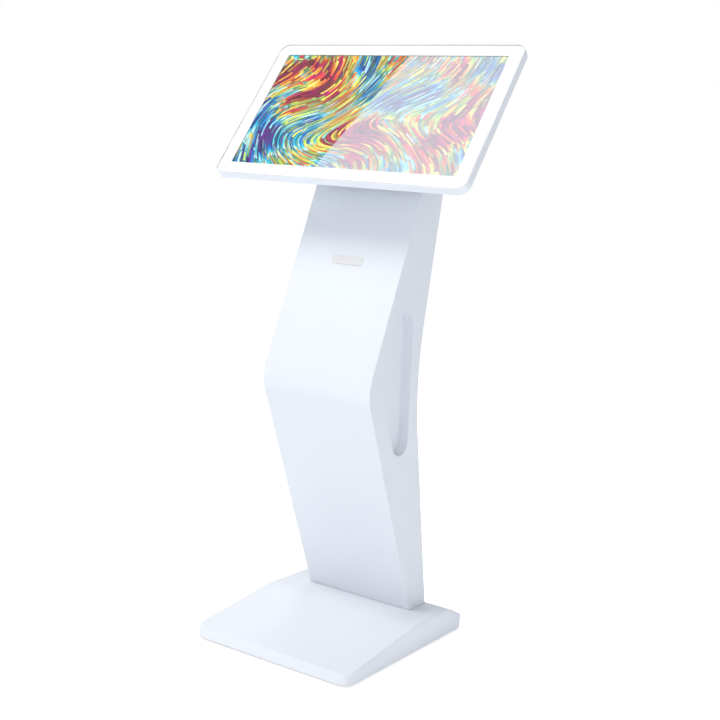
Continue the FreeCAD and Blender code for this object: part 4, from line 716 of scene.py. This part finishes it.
@dataclass(frozen=True)
class Picture:
    """Lit picture of loose brush strokes, with a painted sheen: a paler wedge across its right part that
    stands in for a reflection on the glass.

    Attributes:
        space: Place of the display cell; the picture lies on its face.
        width: Width of the lit area.
        height: Height of the lit area.
        brightness: Strength of its light.
        slant: Run of the painted sheen wedge's edge to the right, by its rise.
        offset: Where the painted sheen wedge's edge crosses the middle line.
        sheen_share: Share of pale tint inside the wedge, painted there as a sheen.
    """

    space: Space
    width: float
    height: float
    brightness: float = 1.3
    slant: float = 0.315
    offset: float = -8.5 * MM
    sheen_share: float = 0.48

    def make(self, name: str) -> bpy.types.Material:
        """Build the material under a name."""
        material, graph, shader = new_material(name)
        mapping = graph.node("Mapping", vector_type="TEXTURE")
        graph.put(mapping.inputs["Vector"], graph.place())
        face = self.space.shifted(z=self.space.size.z / 2)
        mapping.inputs["Location"].default_value = face.to_translation()
        mapping.inputs["Rotation"].default_value = self.space.matrix.to_euler("XYZ")
        u, v, depth = graph.apart(mapping.outputs[0])
        strokes = self._strokes(graph, graph.flat(u, v))
        # Painted sheen: beyond a slanted edge the strokes are mixed with a pale tint, which stands in for a
        # reflection on the glass.
        edge = graph.math("SUBTRACT", u, graph.math("MULTIPLY", v, self.slant))
        edge = graph.math("SUBTRACT", edge, self.offset)
        pale = graph.spread(edge, -0.3 * MM, 0.3 * MM, 0.0, self.sheen_share)
        # Mix the painted sheen's pale tint into the strokes.
        sheen_washed = graph.blend(pale, strokes, (0.78, 0.80, 0.90))
        inside = graph.math("MULTIPLY", graph.math("LESS_THAN", graph.math("ABSOLUTE", u), self.width / 2),
                            graph.math("LESS_THAN", graph.math("ABSOLUTE", v), self.height / 2))
        front = graph.math("GREATER_THAN", depth, -0.2 * MM)
        lit = graph.math("MULTIPLY", inside, front)
        graph.fill(shader, {"Emission Color": graph.blend(lit, (0.0, 0.0, 0.0), sheen_washed),
                            "Emission Strength": self.brightness,
                            "Base Color": (0.01, 0.01, 0.012, 1.0), "Roughness": 0.35})
        return material

    def _strokes(self, graph: Graph, sheet: Place) -> bpy.types.NodeSocket:
        """Colour of the strokes at a place on the sheet: wide ones first, finer ones over them."""
        place = sheet
        for centre, reach, turn in SWIRLS:
            place = graph.effect(Effect.SWIRL, place=place, centre=centre, reach=reach, turn=turn).outputs[0]
        wander = graph.vector("SUBTRACT", graph.noise(place, 14.0, 1.0).outputs["Color"], (0.5, 0.5, 0.5))
        place = graph.vector("ADD", place, graph.vector("MULTIPLY", wander, (0.016, 0.016, 0.0)))
        zone = graph.spread(graph.noise(sheet, 6.5, 1.0).outputs["Fac"], 0.28, 0.72, 0.0, 1.0)
        colour = None
        for wide, long, shift in STROKE_LAYERS:
            laid_at = graph.vector("ADD", place, (shift, shift, 0.0))
            shaded, chance = self._layer(graph, laid_at, zone, wide, long)
            laid = graph.math("GREATER_THAN", chance, 0.5)
            colour = shaded if colour is None else graph.blend(laid, colour, shaded)
        return colour

    @staticmethod
    def _layer(graph: Graph, place: Place, zone: Value, wide: float,
               long: float) -> tuple[bpy.types.NodeSocket, bpy.types.NodeSocket]:
        """Strokes in lanes of one width, each with a paint of its own near the zone's.

        Args:
            graph: Graph of the picture's material.
            place: Place in the bent pattern.
            zone: Main paint of that part of the picture, from 0 to 1.
            wide: Width of a lane.
            long: Length of a stroke.

        Returns:
            The colour, and a random value of the stroke.
        """
        x, y, _ = graph.apart(place)
        across = graph.math("DIVIDE", x, wide)
        lane = graph.math("FLOOR", across)
        start = graph.node("TexWhiteNoise", noise_dimensions="1D")
        graph.put(start.inputs["W"], lane)
        run = graph.math("ADD", graph.math("DIVIDE", y, long),
                         graph.math("MULTIPLY", start.outputs["Value"], 7.0))
        dab = graph.node("TexWhiteNoise", noise_dimensions="3D")
        graph.put(dab.inputs["Vector"], graph.flat(lane, graph.math("FLOOR", run)))
        own = graph.node("SeparateColor")
        graph.put(own.inputs[0], dab.outputs["Color"])
        astray = graph.math("MULTIPLY", graph.math("SUBTRACT", own.outputs[0], 0.5), 0.52)
        hue = graph.math("ADD", zone, astray)
        paint = graph.ramp(graph.math("PINGPONG", hue, 1.0), PAINTS)
        bristle = graph.vector("MULTIPLY", place, (1 / 0.0007, 1 / 0.05, 0.0))
        streak = graph.spread(graph.noise(bristle, 1.0, 3.0, 0.6).outputs["Fac"], 0.3, 0.7, 0.6, 1.3)
        value = graph.math("MULTIPLY", streak, graph.spread(own.outputs[1], 0.0, 1.0, 0.35, 1.35))
        rim = graph.math("ABSOLUTE", graph.math("SUBTRACT", graph.math("FRACT", across), 0.5))
        value = graph.math("MULTIPLY", value, graph.spread(rim, 0.30, 0.5, 1.0, 0.45))
        return graph.scaled(paint, value), own.outputs[2]


@dataclass(frozen=True)
class Board:
    """Green solder mask with copper tracks under it."""

    mask: Colour = (0.012, 0.11, 0.05)
    track: Colour = (0.03, 0.22, 0.10)

    def make(self, name: str) -> bpy.types.Material:
        """Build the material under a name."""
        material, graph, shader = new_material(name)
        place = graph.place()
        net = graph.node("TexVoronoi", distance="CHEBYCHEV", feature="F1")
        graph.fill(net, {"Vector": place, "Scale": 260.0})
        lines = graph.math("FRACT", graph.math("MULTIPLY", net.outputs["Distance"], 5.0))
        tracks = graph.spread(lines, 0.42, 0.5, 0.0, 1.0)
        graph.fill(shader, {"Base Color": graph.blend(tracks, self.mask, self.track),
                            "Roughness": graph.spread(tracks, 0.0, 1.0, 0.38, 0.26)})
        graph.relief(shader, tracks, 0.03 * MM)
        return material


class Palette:
    """All finishes of the kiosk, by the record's material slots."""

    def __init__(self, picture: Picture) -> None:
        """Build every material.

        Args:
            picture: What the display shows.
        """
        finishes = {
            "white_powder_coat": Finish((0.80, 0.825, 0.865), 0.40, size=0.0011, relief=0.000022, tone=0.012,
                                        gloss=0.05),
            "hinge_steel": Finish((0.76, 0.78, 0.82), 0.34, size=0.0009, tone=0.02, gloss=0.06),
            "black_steel": Finish((0.028, 0.029, 0.032), 0.5, size=0.0014, relief=0.00004, tone=0.25,
                                  gloss=0.1),
            "rubber_black": Finish((0.018, 0.018, 0.019), 0.72, surface=Effect.CELLS, size=0.0009, tone=0.3),
            "rubber_feet": Finish((0.022, 0.022, 0.023), 0.66, surface=Effect.CELLS, size=0.0007, tone=0.3),
            "zinc_steel": Finish((0.60, 0.62, 0.66), 0.33, 1.0, Effect.SPANGLE, 0.005, 0.000008, 0.14, 0.1),
            "lock_chrome": Finish((0.72, 0.73, 0.76), 0.12, 1.0, Effect.BRUSHED, relief=0.000003, tone=0.05,
                                  gloss=0.05, stretch=(1.0, 0.1, 1.0)),
            "badge_plastic": Finish((0.775, 0.765, 0.76), 0.28, size=0.0005, relief=0.000006, tone=0.01,
                                    gloss=0.04, coat=0.3),
            "black_plastic": Finish((0.022, 0.022, 0.025), 0.46, size=0.0005, relief=0.00002, tone=0.12),
            "rocker_plastic": Finish((0.42, 0.012, 0.012), 0.3, size=0.0006, relief=0.000008, tone=0.05,
                                     coat=0.4),
            "white_print": Finish((0.93, 0.935, 0.95), 0.32, size=0.0004, relief=0.000001, tone=0.004,
                                  gloss=0.02),
            "bonding_foam": Finish((0.03, 0.03, 0.032), 0.9, surface=Effect.CELLS, size=0.0005, relief=0.0001,
                                   tone=0.2),
            "light_guide_acrylic": Finish((0.88, 0.90, 0.92), 0.55, size=0.0006, relief=0.000005, tone=0.02),
            "supply_case": Finish((0.66, 0.67, 0.69), 0.36, 1.0, Effect.BRUSHED, relief=0.000004, tone=0.08,
                                  gloss=0.08, stretch=(0.02, 1.0, 1.0)),
            "circuit_board": Board(),
            "cover_glass": Glass((0.985, 0.995, 1.0), 1.47, 0.05),
            "sensor_glass": Glass((0.98, 0.99, 0.99), 1.12, 0.03),
            "picture": picture,
        }
        self.materials = {slot: finish.make(slot) for slot, finish in finishes.items()}

    def dress_frame(self) -> int:
        """Give every node of the frame its slot's finish and tell how many were dressed."""
        count = 0
        for row in frame["record"]["subparts"]:
            self.dress(frame["nodes"][row["node"]], row["material_slot"])
            count += 1
        return count

    def dress(self, piece: bpy.types.Object, slot: str) -> bpy.types.Object:
        """Give a piece one finish."""
        piece.data.materials.clear()
        piece.data.materials.append(self.materials[slot])
        return piece

    def ride(self, piece: bpy.types.Object, body: str, slot: str, *nodes: str) -> bpy.types.Object:
        """Finish a new piece: its material, the body it rides on and the nodes it stands for.

        Args:
            piece: The seated piece.
            body: Body that it moves with.
            slot: Record's material slot.
            nodes: Frame nodes that it replaces.

        Returns:
            The piece.
        """
        self.dress(piece, slot)
        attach(piece, body)
        if nodes:
            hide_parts(*nodes)
        LOG.info("%s rides on %s, %d faces", piece.name, body, len(piece.data.polygons))
        return piece

    def fit(self, name: str, parts: Sequence[bpy.types.Object], room: Space, slot: str,
            *nodes: str) -> bpy.types.Object:
        """Join parts into one piece of the stand, seat it in its room and finish it."""
        return self.ride(Bench.seat(Bench.join(name, parts), room.matrix), "stand", slot, *nodes)


# ---------------------------------------------------------------- the pieces

# Things on the main board, in millimetres from its middle: x, y, width, height and thickness of the
# chips, x and y of the capacitors, x and width of the sockets.
CHIPS = ((-25, 10, 30, 30, 1.2), (8, 22, 14, 10, 1.1), (8, 6, 14, 10, 1.1), (34, 14, 18, 18, 1.3),
         (55, -2, 9, 7, 1.4), (-58, -20, 8, 6, 1.4), (-55, 30, 10, 10, 1.2))
CAPACITORS = ((24, -20), (34, -20), (44, -20), (-44, -22), (-34, -22), (60, 30))
SOCKETS = ((-50, 15), (-28, 15), (-4, 22), (26, 16), (50, 13))


@dataclass
class Head:
    """Glass in the head's front and the electronics behind it.

    Attributes:
        glass: Place of the cover glass.
        corner: Radius of the glass corners.
        arris: Polished edge of the glass.
        air: Gap left behind each glass.
        laminate: Thickness of the main board.
    """

    palette: Palette
    glass: Space
    corner: float = 20 * MM
    arris: float = 0.5 * MM
    air: float = 0.06 * MM
    laminate: float = 1.6 * MM

    OUT = (0.0, -0.82, 0.57)

    def build(self) -> list[bpy.types.Object]:
        """Make every piece of the head and give them in order."""
        made = [self.cover_glass(), self.touch_sensor(), self.fan_rotor()]
        return made + self.main_board() + self.power_supply() + self.speakers()

    def _pane(self, name: str, space: Space, corner: float, arris: float) -> bpy.types.Object:
        """Glass pane with rounded corners and polished edges, a little thinner than its room."""
        wide, tall, thick = space.size
        pane = Bench.block(name, (wide, tall, thick - self.air))
        Bench.bevel(pane, upright, corner, 12)
        Bench.soften(pane, arris, 2, 60)
        return Bench.seat(pane, space.shifted(z=self.air / 2))

    def cover_glass(self) -> bpy.types.Object:
        """Cover glass over the whole front."""
        pane = self._pane("cover_glass", self.glass, self.corner, self.arris)
        return self.palette.ride(pane, "stand", "cover_glass", "touch_glass")

    def touch_sensor(self) -> bpy.types.Object:
        """Sensor pane bonded behind the printed border."""
        room = Space.facing("touch_sensor", self.OUT)
        pane = self._pane("sensor_pane", Space(room.shifted(z=-self.air), room.size), 2 * MM, 0.1 * MM)
        return self.palette.ride(pane, "stand", "sensor_glass", "touch_sensor")

    def fan_rotor(self) -> bpy.types.Object:
        """Rotor of the cooling fan: capped hub with seven twisted blades."""
        room = Space.facing("fan_rotor", self.OUT)
        tall = room.size.z
        hub_radius, tip = 11.5 * MM, min(room.size.x, room.size.y) / 2
        bore, rear, web = 2.2 * MM, -tall / 2, -tall / 2 + 2 * MM
        cap = [(bore, rear), (hub_radius - 1.2 * MM, rear), (hub_radius, rear + 1.2 * MM),
               (hub_radius, tall / 2), (hub_radius - 1 * MM, tall / 2), (hub_radius - 1 * MM, web),
               (bore, web), (bore, rear)]
        hub = Bench.spin("fan_hub", cap, 40)
        reach = tip - hub_radius + 0.8 * MM
        blade = Bench.sheet("blade", reach, 13.5 * MM, 8, 6)
        Bench.modify(blade, "SIMPLE_DEFORM", deform_method="TWIST", deform_axis="X", angle=math.radians(-16))
        blade.data.transform(Matrix.Rotation(math.radians(33), 4, "X"))
        Bench.modify(blade, "SOLIDIFY", thickness=1.0 * MM, offset=0.0)
        Bench.soften(blade, 0.3 * MM, 2, 50)
        blade.data.transform(Matrix.Translation((hub_radius - 0.8 * MM + reach / 2, 0, 0)))
        turns = [math.tau * i / 7 for i in range(7)]
        blades = Bench.repeat(blade, [(0, 0, 0)] * 7, turns)
        rotor = Bench.seat(Bench.join("fan_rotor_bladed", [hub, *blades]), room.matrix)
        return self.palette.ride(rotor, "fan", "black_plastic", "fan_rotor")

    def main_board(self) -> list[bpy.types.Object]:
        """Main board with its processor's heat sink, chips, capacitors and connectors."""
        room = Space.facing("main_board", self.OUT)
        face = self.laminate - room.size.z / 2
        return [step(room, face) for step in (self._laminate, self._cooler, self._packages,
                                              self._connectors)]

    def _laminate(self, room: Space, face: float) -> bpy.types.Object:
        """Laminate with a plated land round each fixing hole."""
        wide, tall, deep = room.size
        board = Bench.block("board_laminate", (wide, tall, self.laminate), (0, 0, (face - deep / 2) / 2))
        Bench.bevel(board, upright, 3 * MM, 4)
        land = Bench.disc("land", 3.4 * MM, 0.12 * MM, (0, 0, face), 28)
        Bench.inset(land, looks_up, 1.6 * MM, -1.4 * MM)
        lands = Bench.repeat(land, four_corners(wide / 2 - 6 * MM, tall / 2 - 6 * MM))
        return self.palette.fit("board_laminate", [board, *lands], room, "circuit_board", "main_board")

    def _cooler(self, room: Space, face: float) -> bpy.types.Object:
        """Heat sink on the processor, with a row of fins."""
        deep = room.size.z
        sink = Bench.block("heat_sink", (38 * MM, 38 * MM, 2 * MM), (-25 * MM, 10 * MM, face + 2.2 * MM))
        fin = Bench.block("fin", (1.1 * MM, 37 * MM, deep - self.laminate - 3.4 * MM),
                          (-42.5 * MM, 10 * MM, (face + 3.2 * MM + deep / 2) / 2))
        Bench.soften(fin, 0.25 * MM, 2)
        Bench.row(fin, 11, 3.5 * MM)
        Bench.soften(sink, 0.3 * MM, 2)
        return self.palette.fit("heat_sink", [sink, fin], room, "supply_case")

    def _packages(self, room: Space, face: float) -> bpy.types.Object:
        """Chips and round capacitors."""
        made = []
        for x, y, wide, tall, high in CHIPS:
            chip = Bench.block("chip", (wide * MM, tall * MM, high * MM),
                               (x * MM, y * MM, face + high * MM / 2 + 0.1 * MM))
            Bench.inset(chip, looks_up, 0.5 * MM, -0.08 * MM)
            Bench.soften(chip, 0.12 * MM, 1)
            made.append(chip)
        for x, y in CAPACITORS:
            can = Bench.disc("can", 3.2 * MM, 6.6 * MM, (x * MM, y * MM, face + 3.3 * MM), 28)
            Bench.inset(can, looks_up, 0.5 * MM, -0.25 * MM)
            Bench.soften(can, 0.3 * MM, 2)
            made.append(can)
        return self.palette.fit("board_packages", made, room, "black_plastic")

    def _connectors(self, room: Space, face: float) -> bpy.types.Object:
        """Sockets along the lower edge and a pin header along the upper one."""
        tall = room.size.y
        parts = []
        for x, wide in SOCKETS:
            middle = (x * MM, -tall / 2 + 6 * MM, face + 3.1 * MM)
            shell = Bench.block("shell", (wide * MM, 13 * MM, 6 * MM), middle)
            Bench.inset(shell, lambda _, normal: normal.y < -0.9, 0.6 * MM, -9 * MM)
            tongue = Bench.block("tongue", ((wide - 4) * MM, 8 * MM, 1.2 * MM), middle)
            Bench.soften(tongue, 0.2 * MM, 1)
            parts += [shell, tongue]
        upper = tall / 2 - 6 * MM
        header = Bench.block("header", (52 * MM, 6 * MM, 5 * MM), (5 * MM, upper, face + 2.6 * MM))
        Bench.inset(header, looks_up, 0.7 * MM, -3.6 * MM)
        pin = Bench.block("pin", (0.5 * MM, 0.5 * MM, 4 * MM), (-18.5 * MM, upper, face + 3 * MM))
        Bench.row(pin, 24, 2 * MM)
        return self.palette.fit("board_connectors", [*parts, header, pin], room, "zinc_steel")

    def power_supply(self) -> list[bpy.types.Object]:
        """Power supply: folded case with a vented lid, and its screw terminals."""
        room = Space.facing("power_supply", self.OUT)
        wide, tall, deep = room.size
        ledge = 14 * MM
        case = Bench.block("supply_case", (wide, tall - ledge, deep - 1.2 * MM), (0, ledge / 2, -0.6 * MM))
        Bench.soften(case, 1.2 * MM, 3)
        lid = Bench.sheet("lid", wide, tall - ledge, 14, 18, (0, ledge / 2, deep / 2 - 0.6 * MM))
        vent_x, vent_y = wide / 2 - 10 * MM, tall / 2 - 20 * MM
        Bench.pick(lid, Select.FACES, lambda middle, _: abs(middle.x) < vent_x
                   and abs(middle.y - ledge / 2) < vent_y)
        bpy.ops.mesh.inset(thickness=1.5 * MM, depth=0, use_individual=True)
        bpy.ops.mesh.delete(type="FACE")
        Bench.modify(lid, "SOLIDIFY", thickness=1.0 * MM, offset=0.0)
        Bench.soften(lid, 0.2 * MM, 1)
        made = [self.palette.fit("supply_case", [case, lid], room, "supply_case", "power_supply")]
        low = -tall / 2 + 6.6 * MM
        strip = Bench.block("supply_terminals", (wide - 16 * MM, 13 * MM, 14 * MM),
                            (0, low, -deep / 2 + 7.5 * MM))
        Bench.soften(strip, 0.8 * MM, 2)
        screw = Bench.screw("terminal_screw", 2.8 * MM, 1.6 * MM, 1.1 * MM, 0.9 * MM)
        step = (wide - 28 * MM) / 6
        spots = [(-3 * step + i * step, low, -deep / 2 + 15 * MM) for i in range(7)]
        screws = Bench.seat(Bench.join("supply_terminal_screws", Bench.repeat(screw, spots)), room.matrix)
        Bench.seat(strip, room.matrix)
        made.append(self.palette.ride(strip, "stand", "black_plastic"))
        made.append(self.palette.ride(screws, "stand", "zinc_steel"))
        return made

    def speakers(self) -> list[bpy.types.Object]:
        """Two speakers: moulded basket, rubber surround, cone and dust cap."""
        made = []
        for name, sign in (("speaker_left", -1), ("speaker_right", 1)):
            room = Space.facing("speakers", self.OUT, side=lambda co, s=sign: co.x * s > 0)
            wide, tall, deep = room.size
            basket = Bench.block(name, (wide, tall, deep))
            Bench.bevel(basket, upright, 4 * MM, 5)
            Bench.inset(basket, lambda middle, normal: normal.z < -0.9, 2 * MM, -0.8 * MM)
            Bench.soften(basket, 0.6 * MM, 2)
            rear = -deep / 2 + 0.8 * MM
            cone = Bench.spin("cone", [(15.6 * MM, rear + 0.2 * MM), (15.6 * MM, rear - 0.7 * MM),
                                       (14.2 * MM, rear - 0.8 * MM), (13.2 * MM, rear - 0.2 * MM),
                                       (12.4 * MM, rear - 0.3 * MM), (6.2 * MM, rear + 0.1 * MM),
                                       (5.6 * MM, rear - 0.5 * MM), (3.2 * MM, rear - 0.75 * MM),
                                       (0.0, rear - 0.8 * MM)], 44)
            ear = Bench.disc("ear", 2.4 * MM, 0.8 * MM, (0, 0, rear - 0.3 * MM), 24)
            Bench.soften(ear, 0.2 * MM, 2)
            ears = Bench.repeat(ear, four_corners(wide / 2 - 6 * MM, tall / 2 - 6 * MM))
            nodes = ("speakers",) if sign < 0 else ()
            made.append(self.palette.fit(name, [basket, cone, *ears], room, "black_plastic", *nodes))
        return made


@dataclass
class Column:
    """Badge on the column's front and the supply box at its foot."""

    palette: Palette
    badge_corner: float = 2 * MM
    badge_rim: float = 1.1 * MM

    def build(self) -> list[bpy.types.Object]:
        """Make the column's own pieces."""
        return [self.badge(), *self.supply_box()]

    def badge(self) -> bpy.types.Object:
        """Blank badge with a raised, rounded rim."""
        room = Space.facing("badge_plate", (0.0, -1.0, 0.1))
        plate = Bench.block("badge", room.size)
        Bench.bevel(plate, upright, self.badge_corner, 6)
        Bench.inset(plate, looks_up, self.badge_rim, -0.25 * MM)
        Bench.soften(plate, 0.22 * MM, 3)
        return self.palette.ride(Bench.seat(plate, room.matrix), "stand", "badge_plastic", "badge_plate")

    def supply_box(self) -> list[bpy.types.Object]:
        """Supply box: moulded case with a lid, and its screws."""
        room = Space.facing("supply_box", (0.0, 1.0, 0.0))
        wide, tall, deep = room.size
        lid_deep = 9 * MM
        case = Bench.block("supply_box_case", (wide - 2 * MM, tall - 2 * MM, deep - lid_deep),
                           (0, 0, -lid_deep / 2))
        Bench.bevel(case, upright, 3 * MM, 4)
        lid = Bench.block("lid", (wide, tall, lid_deep - 0.6 * MM),
                          (0, 0, deep / 2 - lid_deep / 2 + 0.3 * MM))
        Bench.bevel(lid, upright, 4 * MM, 5)
        Bench.inset(lid, looks_up, 7 * MM, -1.2 * MM)
        for part in (case, lid):
            Bench.soften(part, 0.6 * MM, 2)
        made = [self.palette.fit("supply_box_case", [case, lid], room, "black_plastic", "supply_box")]
        screw = Bench.screw("lid_screw", 2.6 * MM, 1.2 * MM, 1.0 * MM, 0.7 * MM, deep / 2 - 0.5 * MM)
        spots = four_corners(wide / 2 - 4 * MM, tall / 2 - 4 * MM)
        made.append(self.palette.fit("supply_box_screws", Bench.repeat(screw, spots), room, "zinc_steel"))
        return made


@dataclass
class Foot:
    """Rubber pad of a levelling foot, turned, with grooves in its sole."""

    palette: Palette
    corner: str
    bore: float = 5.1 * MM
    neck: float = 8.5 * MM

    def build(self) -> bpy.types.Object:
        """Turn the pad and seat it on its foot."""
        low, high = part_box(f"foot_pad_{self.corner}")
        radius, tall = (high.x - low.x) / 2, high.z - low.z
        sole = [(self.bore, 2.6 * MM), (self.bore, 1.0 * MM)]
        for ring in range(3):
            middle = self.neck + ring * 2.9 * MM
            sole += [(middle - 0.9 * MM, 0.0), (middle + 0.9 * MM, 0.0), (middle + 1.1 * MM, 0.7 * MM),
                     (middle + 1.7 * MM, 0.7 * MM)]
        outline = sole[:-1] + [(radius - 0.5 * MM, 0.0), (radius, 0.6 * MM), (radius, tall * 0.42),
                               (radius - 0.8 * MM, tall * 0.56), (self.neck + 3 * MM, tall * 0.86),
                               (self.neck + 1 * MM, tall), (self.bore, tall), (self.bore, 2.6 * MM)]
        pad = Bench.spin(f"foot_pad_{self.corner}_rubber", outline)
        middle = ((low.x + high.x) / 2, (low.y + high.y) / 2, low.z)
        Bench.seat(pad, Matrix.Translation(middle))
        body = f"foot_pad_{self.corner}"
        return self.palette.ride(pad, body, "rubber_feet", body)


# ---------------------------------------------------------------- studio

@dataclass(frozen=True)
class Lamp:
    """Square soft lamp aimed at the kiosk, not seen in reflections."""

    name: str
    place: Triple
    side: float
    watts: float
    colour: Colour = (1.0, 1.0, 1.0)

    def hang(self, aim: Vector) -> bpy.types.Object:
        """Add the lamp, looking at a point."""
        light = bpy.data.lights.new(self.name, "AREA")
        light.size, light.energy, light.color = self.side, self.watts, self.colour
        lamp = bpy.data.objects.new(self.name, light)
        bpy.context.scene.collection.objects.link(lamp)
        lamp.location = self.place
        lamp.rotation_euler = (aim - Vector(self.place)).to_track_quat("-Z", "Y").to_euler()
        lamp.visible_glossy = False
        return lamp


@dataclass(frozen=True)
class Viewpoint:
    """Camera round the kiosk.

    Attributes:
        aim: Point that the camera's axis passes through.
        azimuth: Degrees round from straight in front, towards +X.
        elevation: Degrees above level.
        roll: Degrees that the camera leans anticlockwise.
        distance: Camera to the aim.
        lens: Focal length for a 36 mm sensor.
        shift: Upward shift of the picture, as a share of its width.
    """

    aim: Triple = (-0.0047, 0.0051, 0.6711)
    azimuth: float = 32.28
    elevation: float = 5.5
    roll: float = 4.96
    distance: float = 2.457
    lens: float = 58.89
    shift: float = -0.0556

    def set_up(self) -> bpy.types.Object:
        """Add the camera and make it the scene's."""
        az, el, roll = (math.radians(a) for a in (self.azimuth, self.elevation, self.roll))
        back = Vector((math.sin(az) * math.cos(el), -math.cos(az) * math.cos(el), math.sin(el)))
        right = (-back).cross(Vector((0, 0, 1))).normalized()
        up = right.cross(-back)
        leaned = right * math.cos(roll) + up * math.sin(roll)
        risen = up * math.cos(roll) - right * math.sin(roll)
        data = bpy.data.cameras.new("camera")
        data.lens, data.sensor_width, data.shift_y = self.lens, 36.0, self.shift
        data.clip_end = 200.0
        camera = bpy.data.objects.new("camera", data)
        bpy.context.scene.collection.objects.link(camera)
        turn = Matrix((leaned, risen, back)).transposed().to_4x4()
        camera.matrix_world = Matrix.Translation(Vector(self.aim) + back * self.distance) @ turn
        bpy.context.scene.camera = camera
        return camera


@dataclass(frozen=True)
class Studio:
    """Plain pale floor, a white surround and soft lamps."""

    floor_side: float = 120.0
    lamps: tuple[Lamp, ...] = (
        Lamp("key_lamp", (-1.4, -2.7, 4.65), 2.0, 128.0, (1.0, 0.98, 0.95)),
        Lamp("front_lamp", (-2.6, -3.6, 1.2), 2.4, 2.0),
        Lamp("side_lamp", (3.0, -1.5, 1.6), 2.4, 25.0, (1.0, 0.98, 0.96)),
        Lamp("rear_lamp", (-1.7, 2.2, 3.9), 2.0, 55.0),
    )

    def build(self) -> None:
        """Lay the floor, light the surround and hang the lamps."""
        self._floor()
        self._surround()
        aim = (CAD_BOX[0] + CAD_BOX[1]) / 2
        for lamp in self.lamps:
            lamp.hang(aim)

    def _floor(self) -> None:
        """Pale floor under the kiosk, lit from within so that the camera sees it as white."""
        Bench.clear()
        bpy.ops.mesh.primitive_plane_add(size=self.floor_side)
        floor = bpy.context.active_object
        floor.name = "studio_floor"
        material, graph, shader = new_material("studio_floor")
        seen = graph.node("LightPath").outputs["Is Camera Ray"]
        glow = graph.blend(seen, (0.12, 0.13, 0.14), (0.62, 0.62, 0.62))
        graph.fill(shader, {"Base Color": (0.93, 0.94, 0.96, 1.0), "Roughness": 0.9,
                            "Emission Color": glow, "Emission Strength": 1.0})
        floor.data.materials.append(material)

    def _surround(self) -> None:
        """Surround that lights from above, the left and the front.

        The camera sees it as pure white, and reflections see it dimmed.
        """
        world = bpy.data.worlds.new("studio")
        bpy.context.scene.world = world
        world.use_nodes = True
        graph = Graph(world.node_tree)
        back = next(n for n in world.node_tree.nodes if n.type == "BACKGROUND")
        direction = graph.node("TexCoord").outputs["Generated"]
        lean = graph.vector("DOT_PRODUCT", direction, (-0.55, -0.65, 0.52))
        level = graph.spread(lean, -1.0, 1.0, 0.31, 0.70)
        glow = graph.scaled((0.88, 0.92, 0.99), level)
        path = graph.node("LightPath")
        dimmed = graph.blend(path.outputs["Is Glossy Ray"], glow, (0.12, 0.13, 0.15))
        colour = graph.blend(path.outputs["Is Camera Ray"], dimmed, (1.0, 1.0, 1.0))
        graph.fill(back, {"Color": colour, "Strength": 1.0})


def main() -> None:
    """Dress the frame, make the kiosk's pieces and set up the studio."""
    logging.basicConfig(level=logging.INFO, format="%(message)s")
    bpy.context.scene.view_settings.view_transform = "Standard"
    glass = Space.facing("touch_glass", Head.OUT)
    cell = Space.facing("display_cell", Head.OUT)
    margin = 2 * MM
    palette = Palette(Picture(cell, cell.size.x - margin, cell.size.y - margin))
    LOG.info("%d nodes dressed", palette.dress_frame())
    Head(palette, glass).build()
    Column(palette).build()
    for corner in ("front_left", "front_right", "rear_left", "rear_right"):
        Foot(palette, corner).build()
    Studio().build()
    Viewpoint().set_up()


if __name__ == "__main__":
    main()
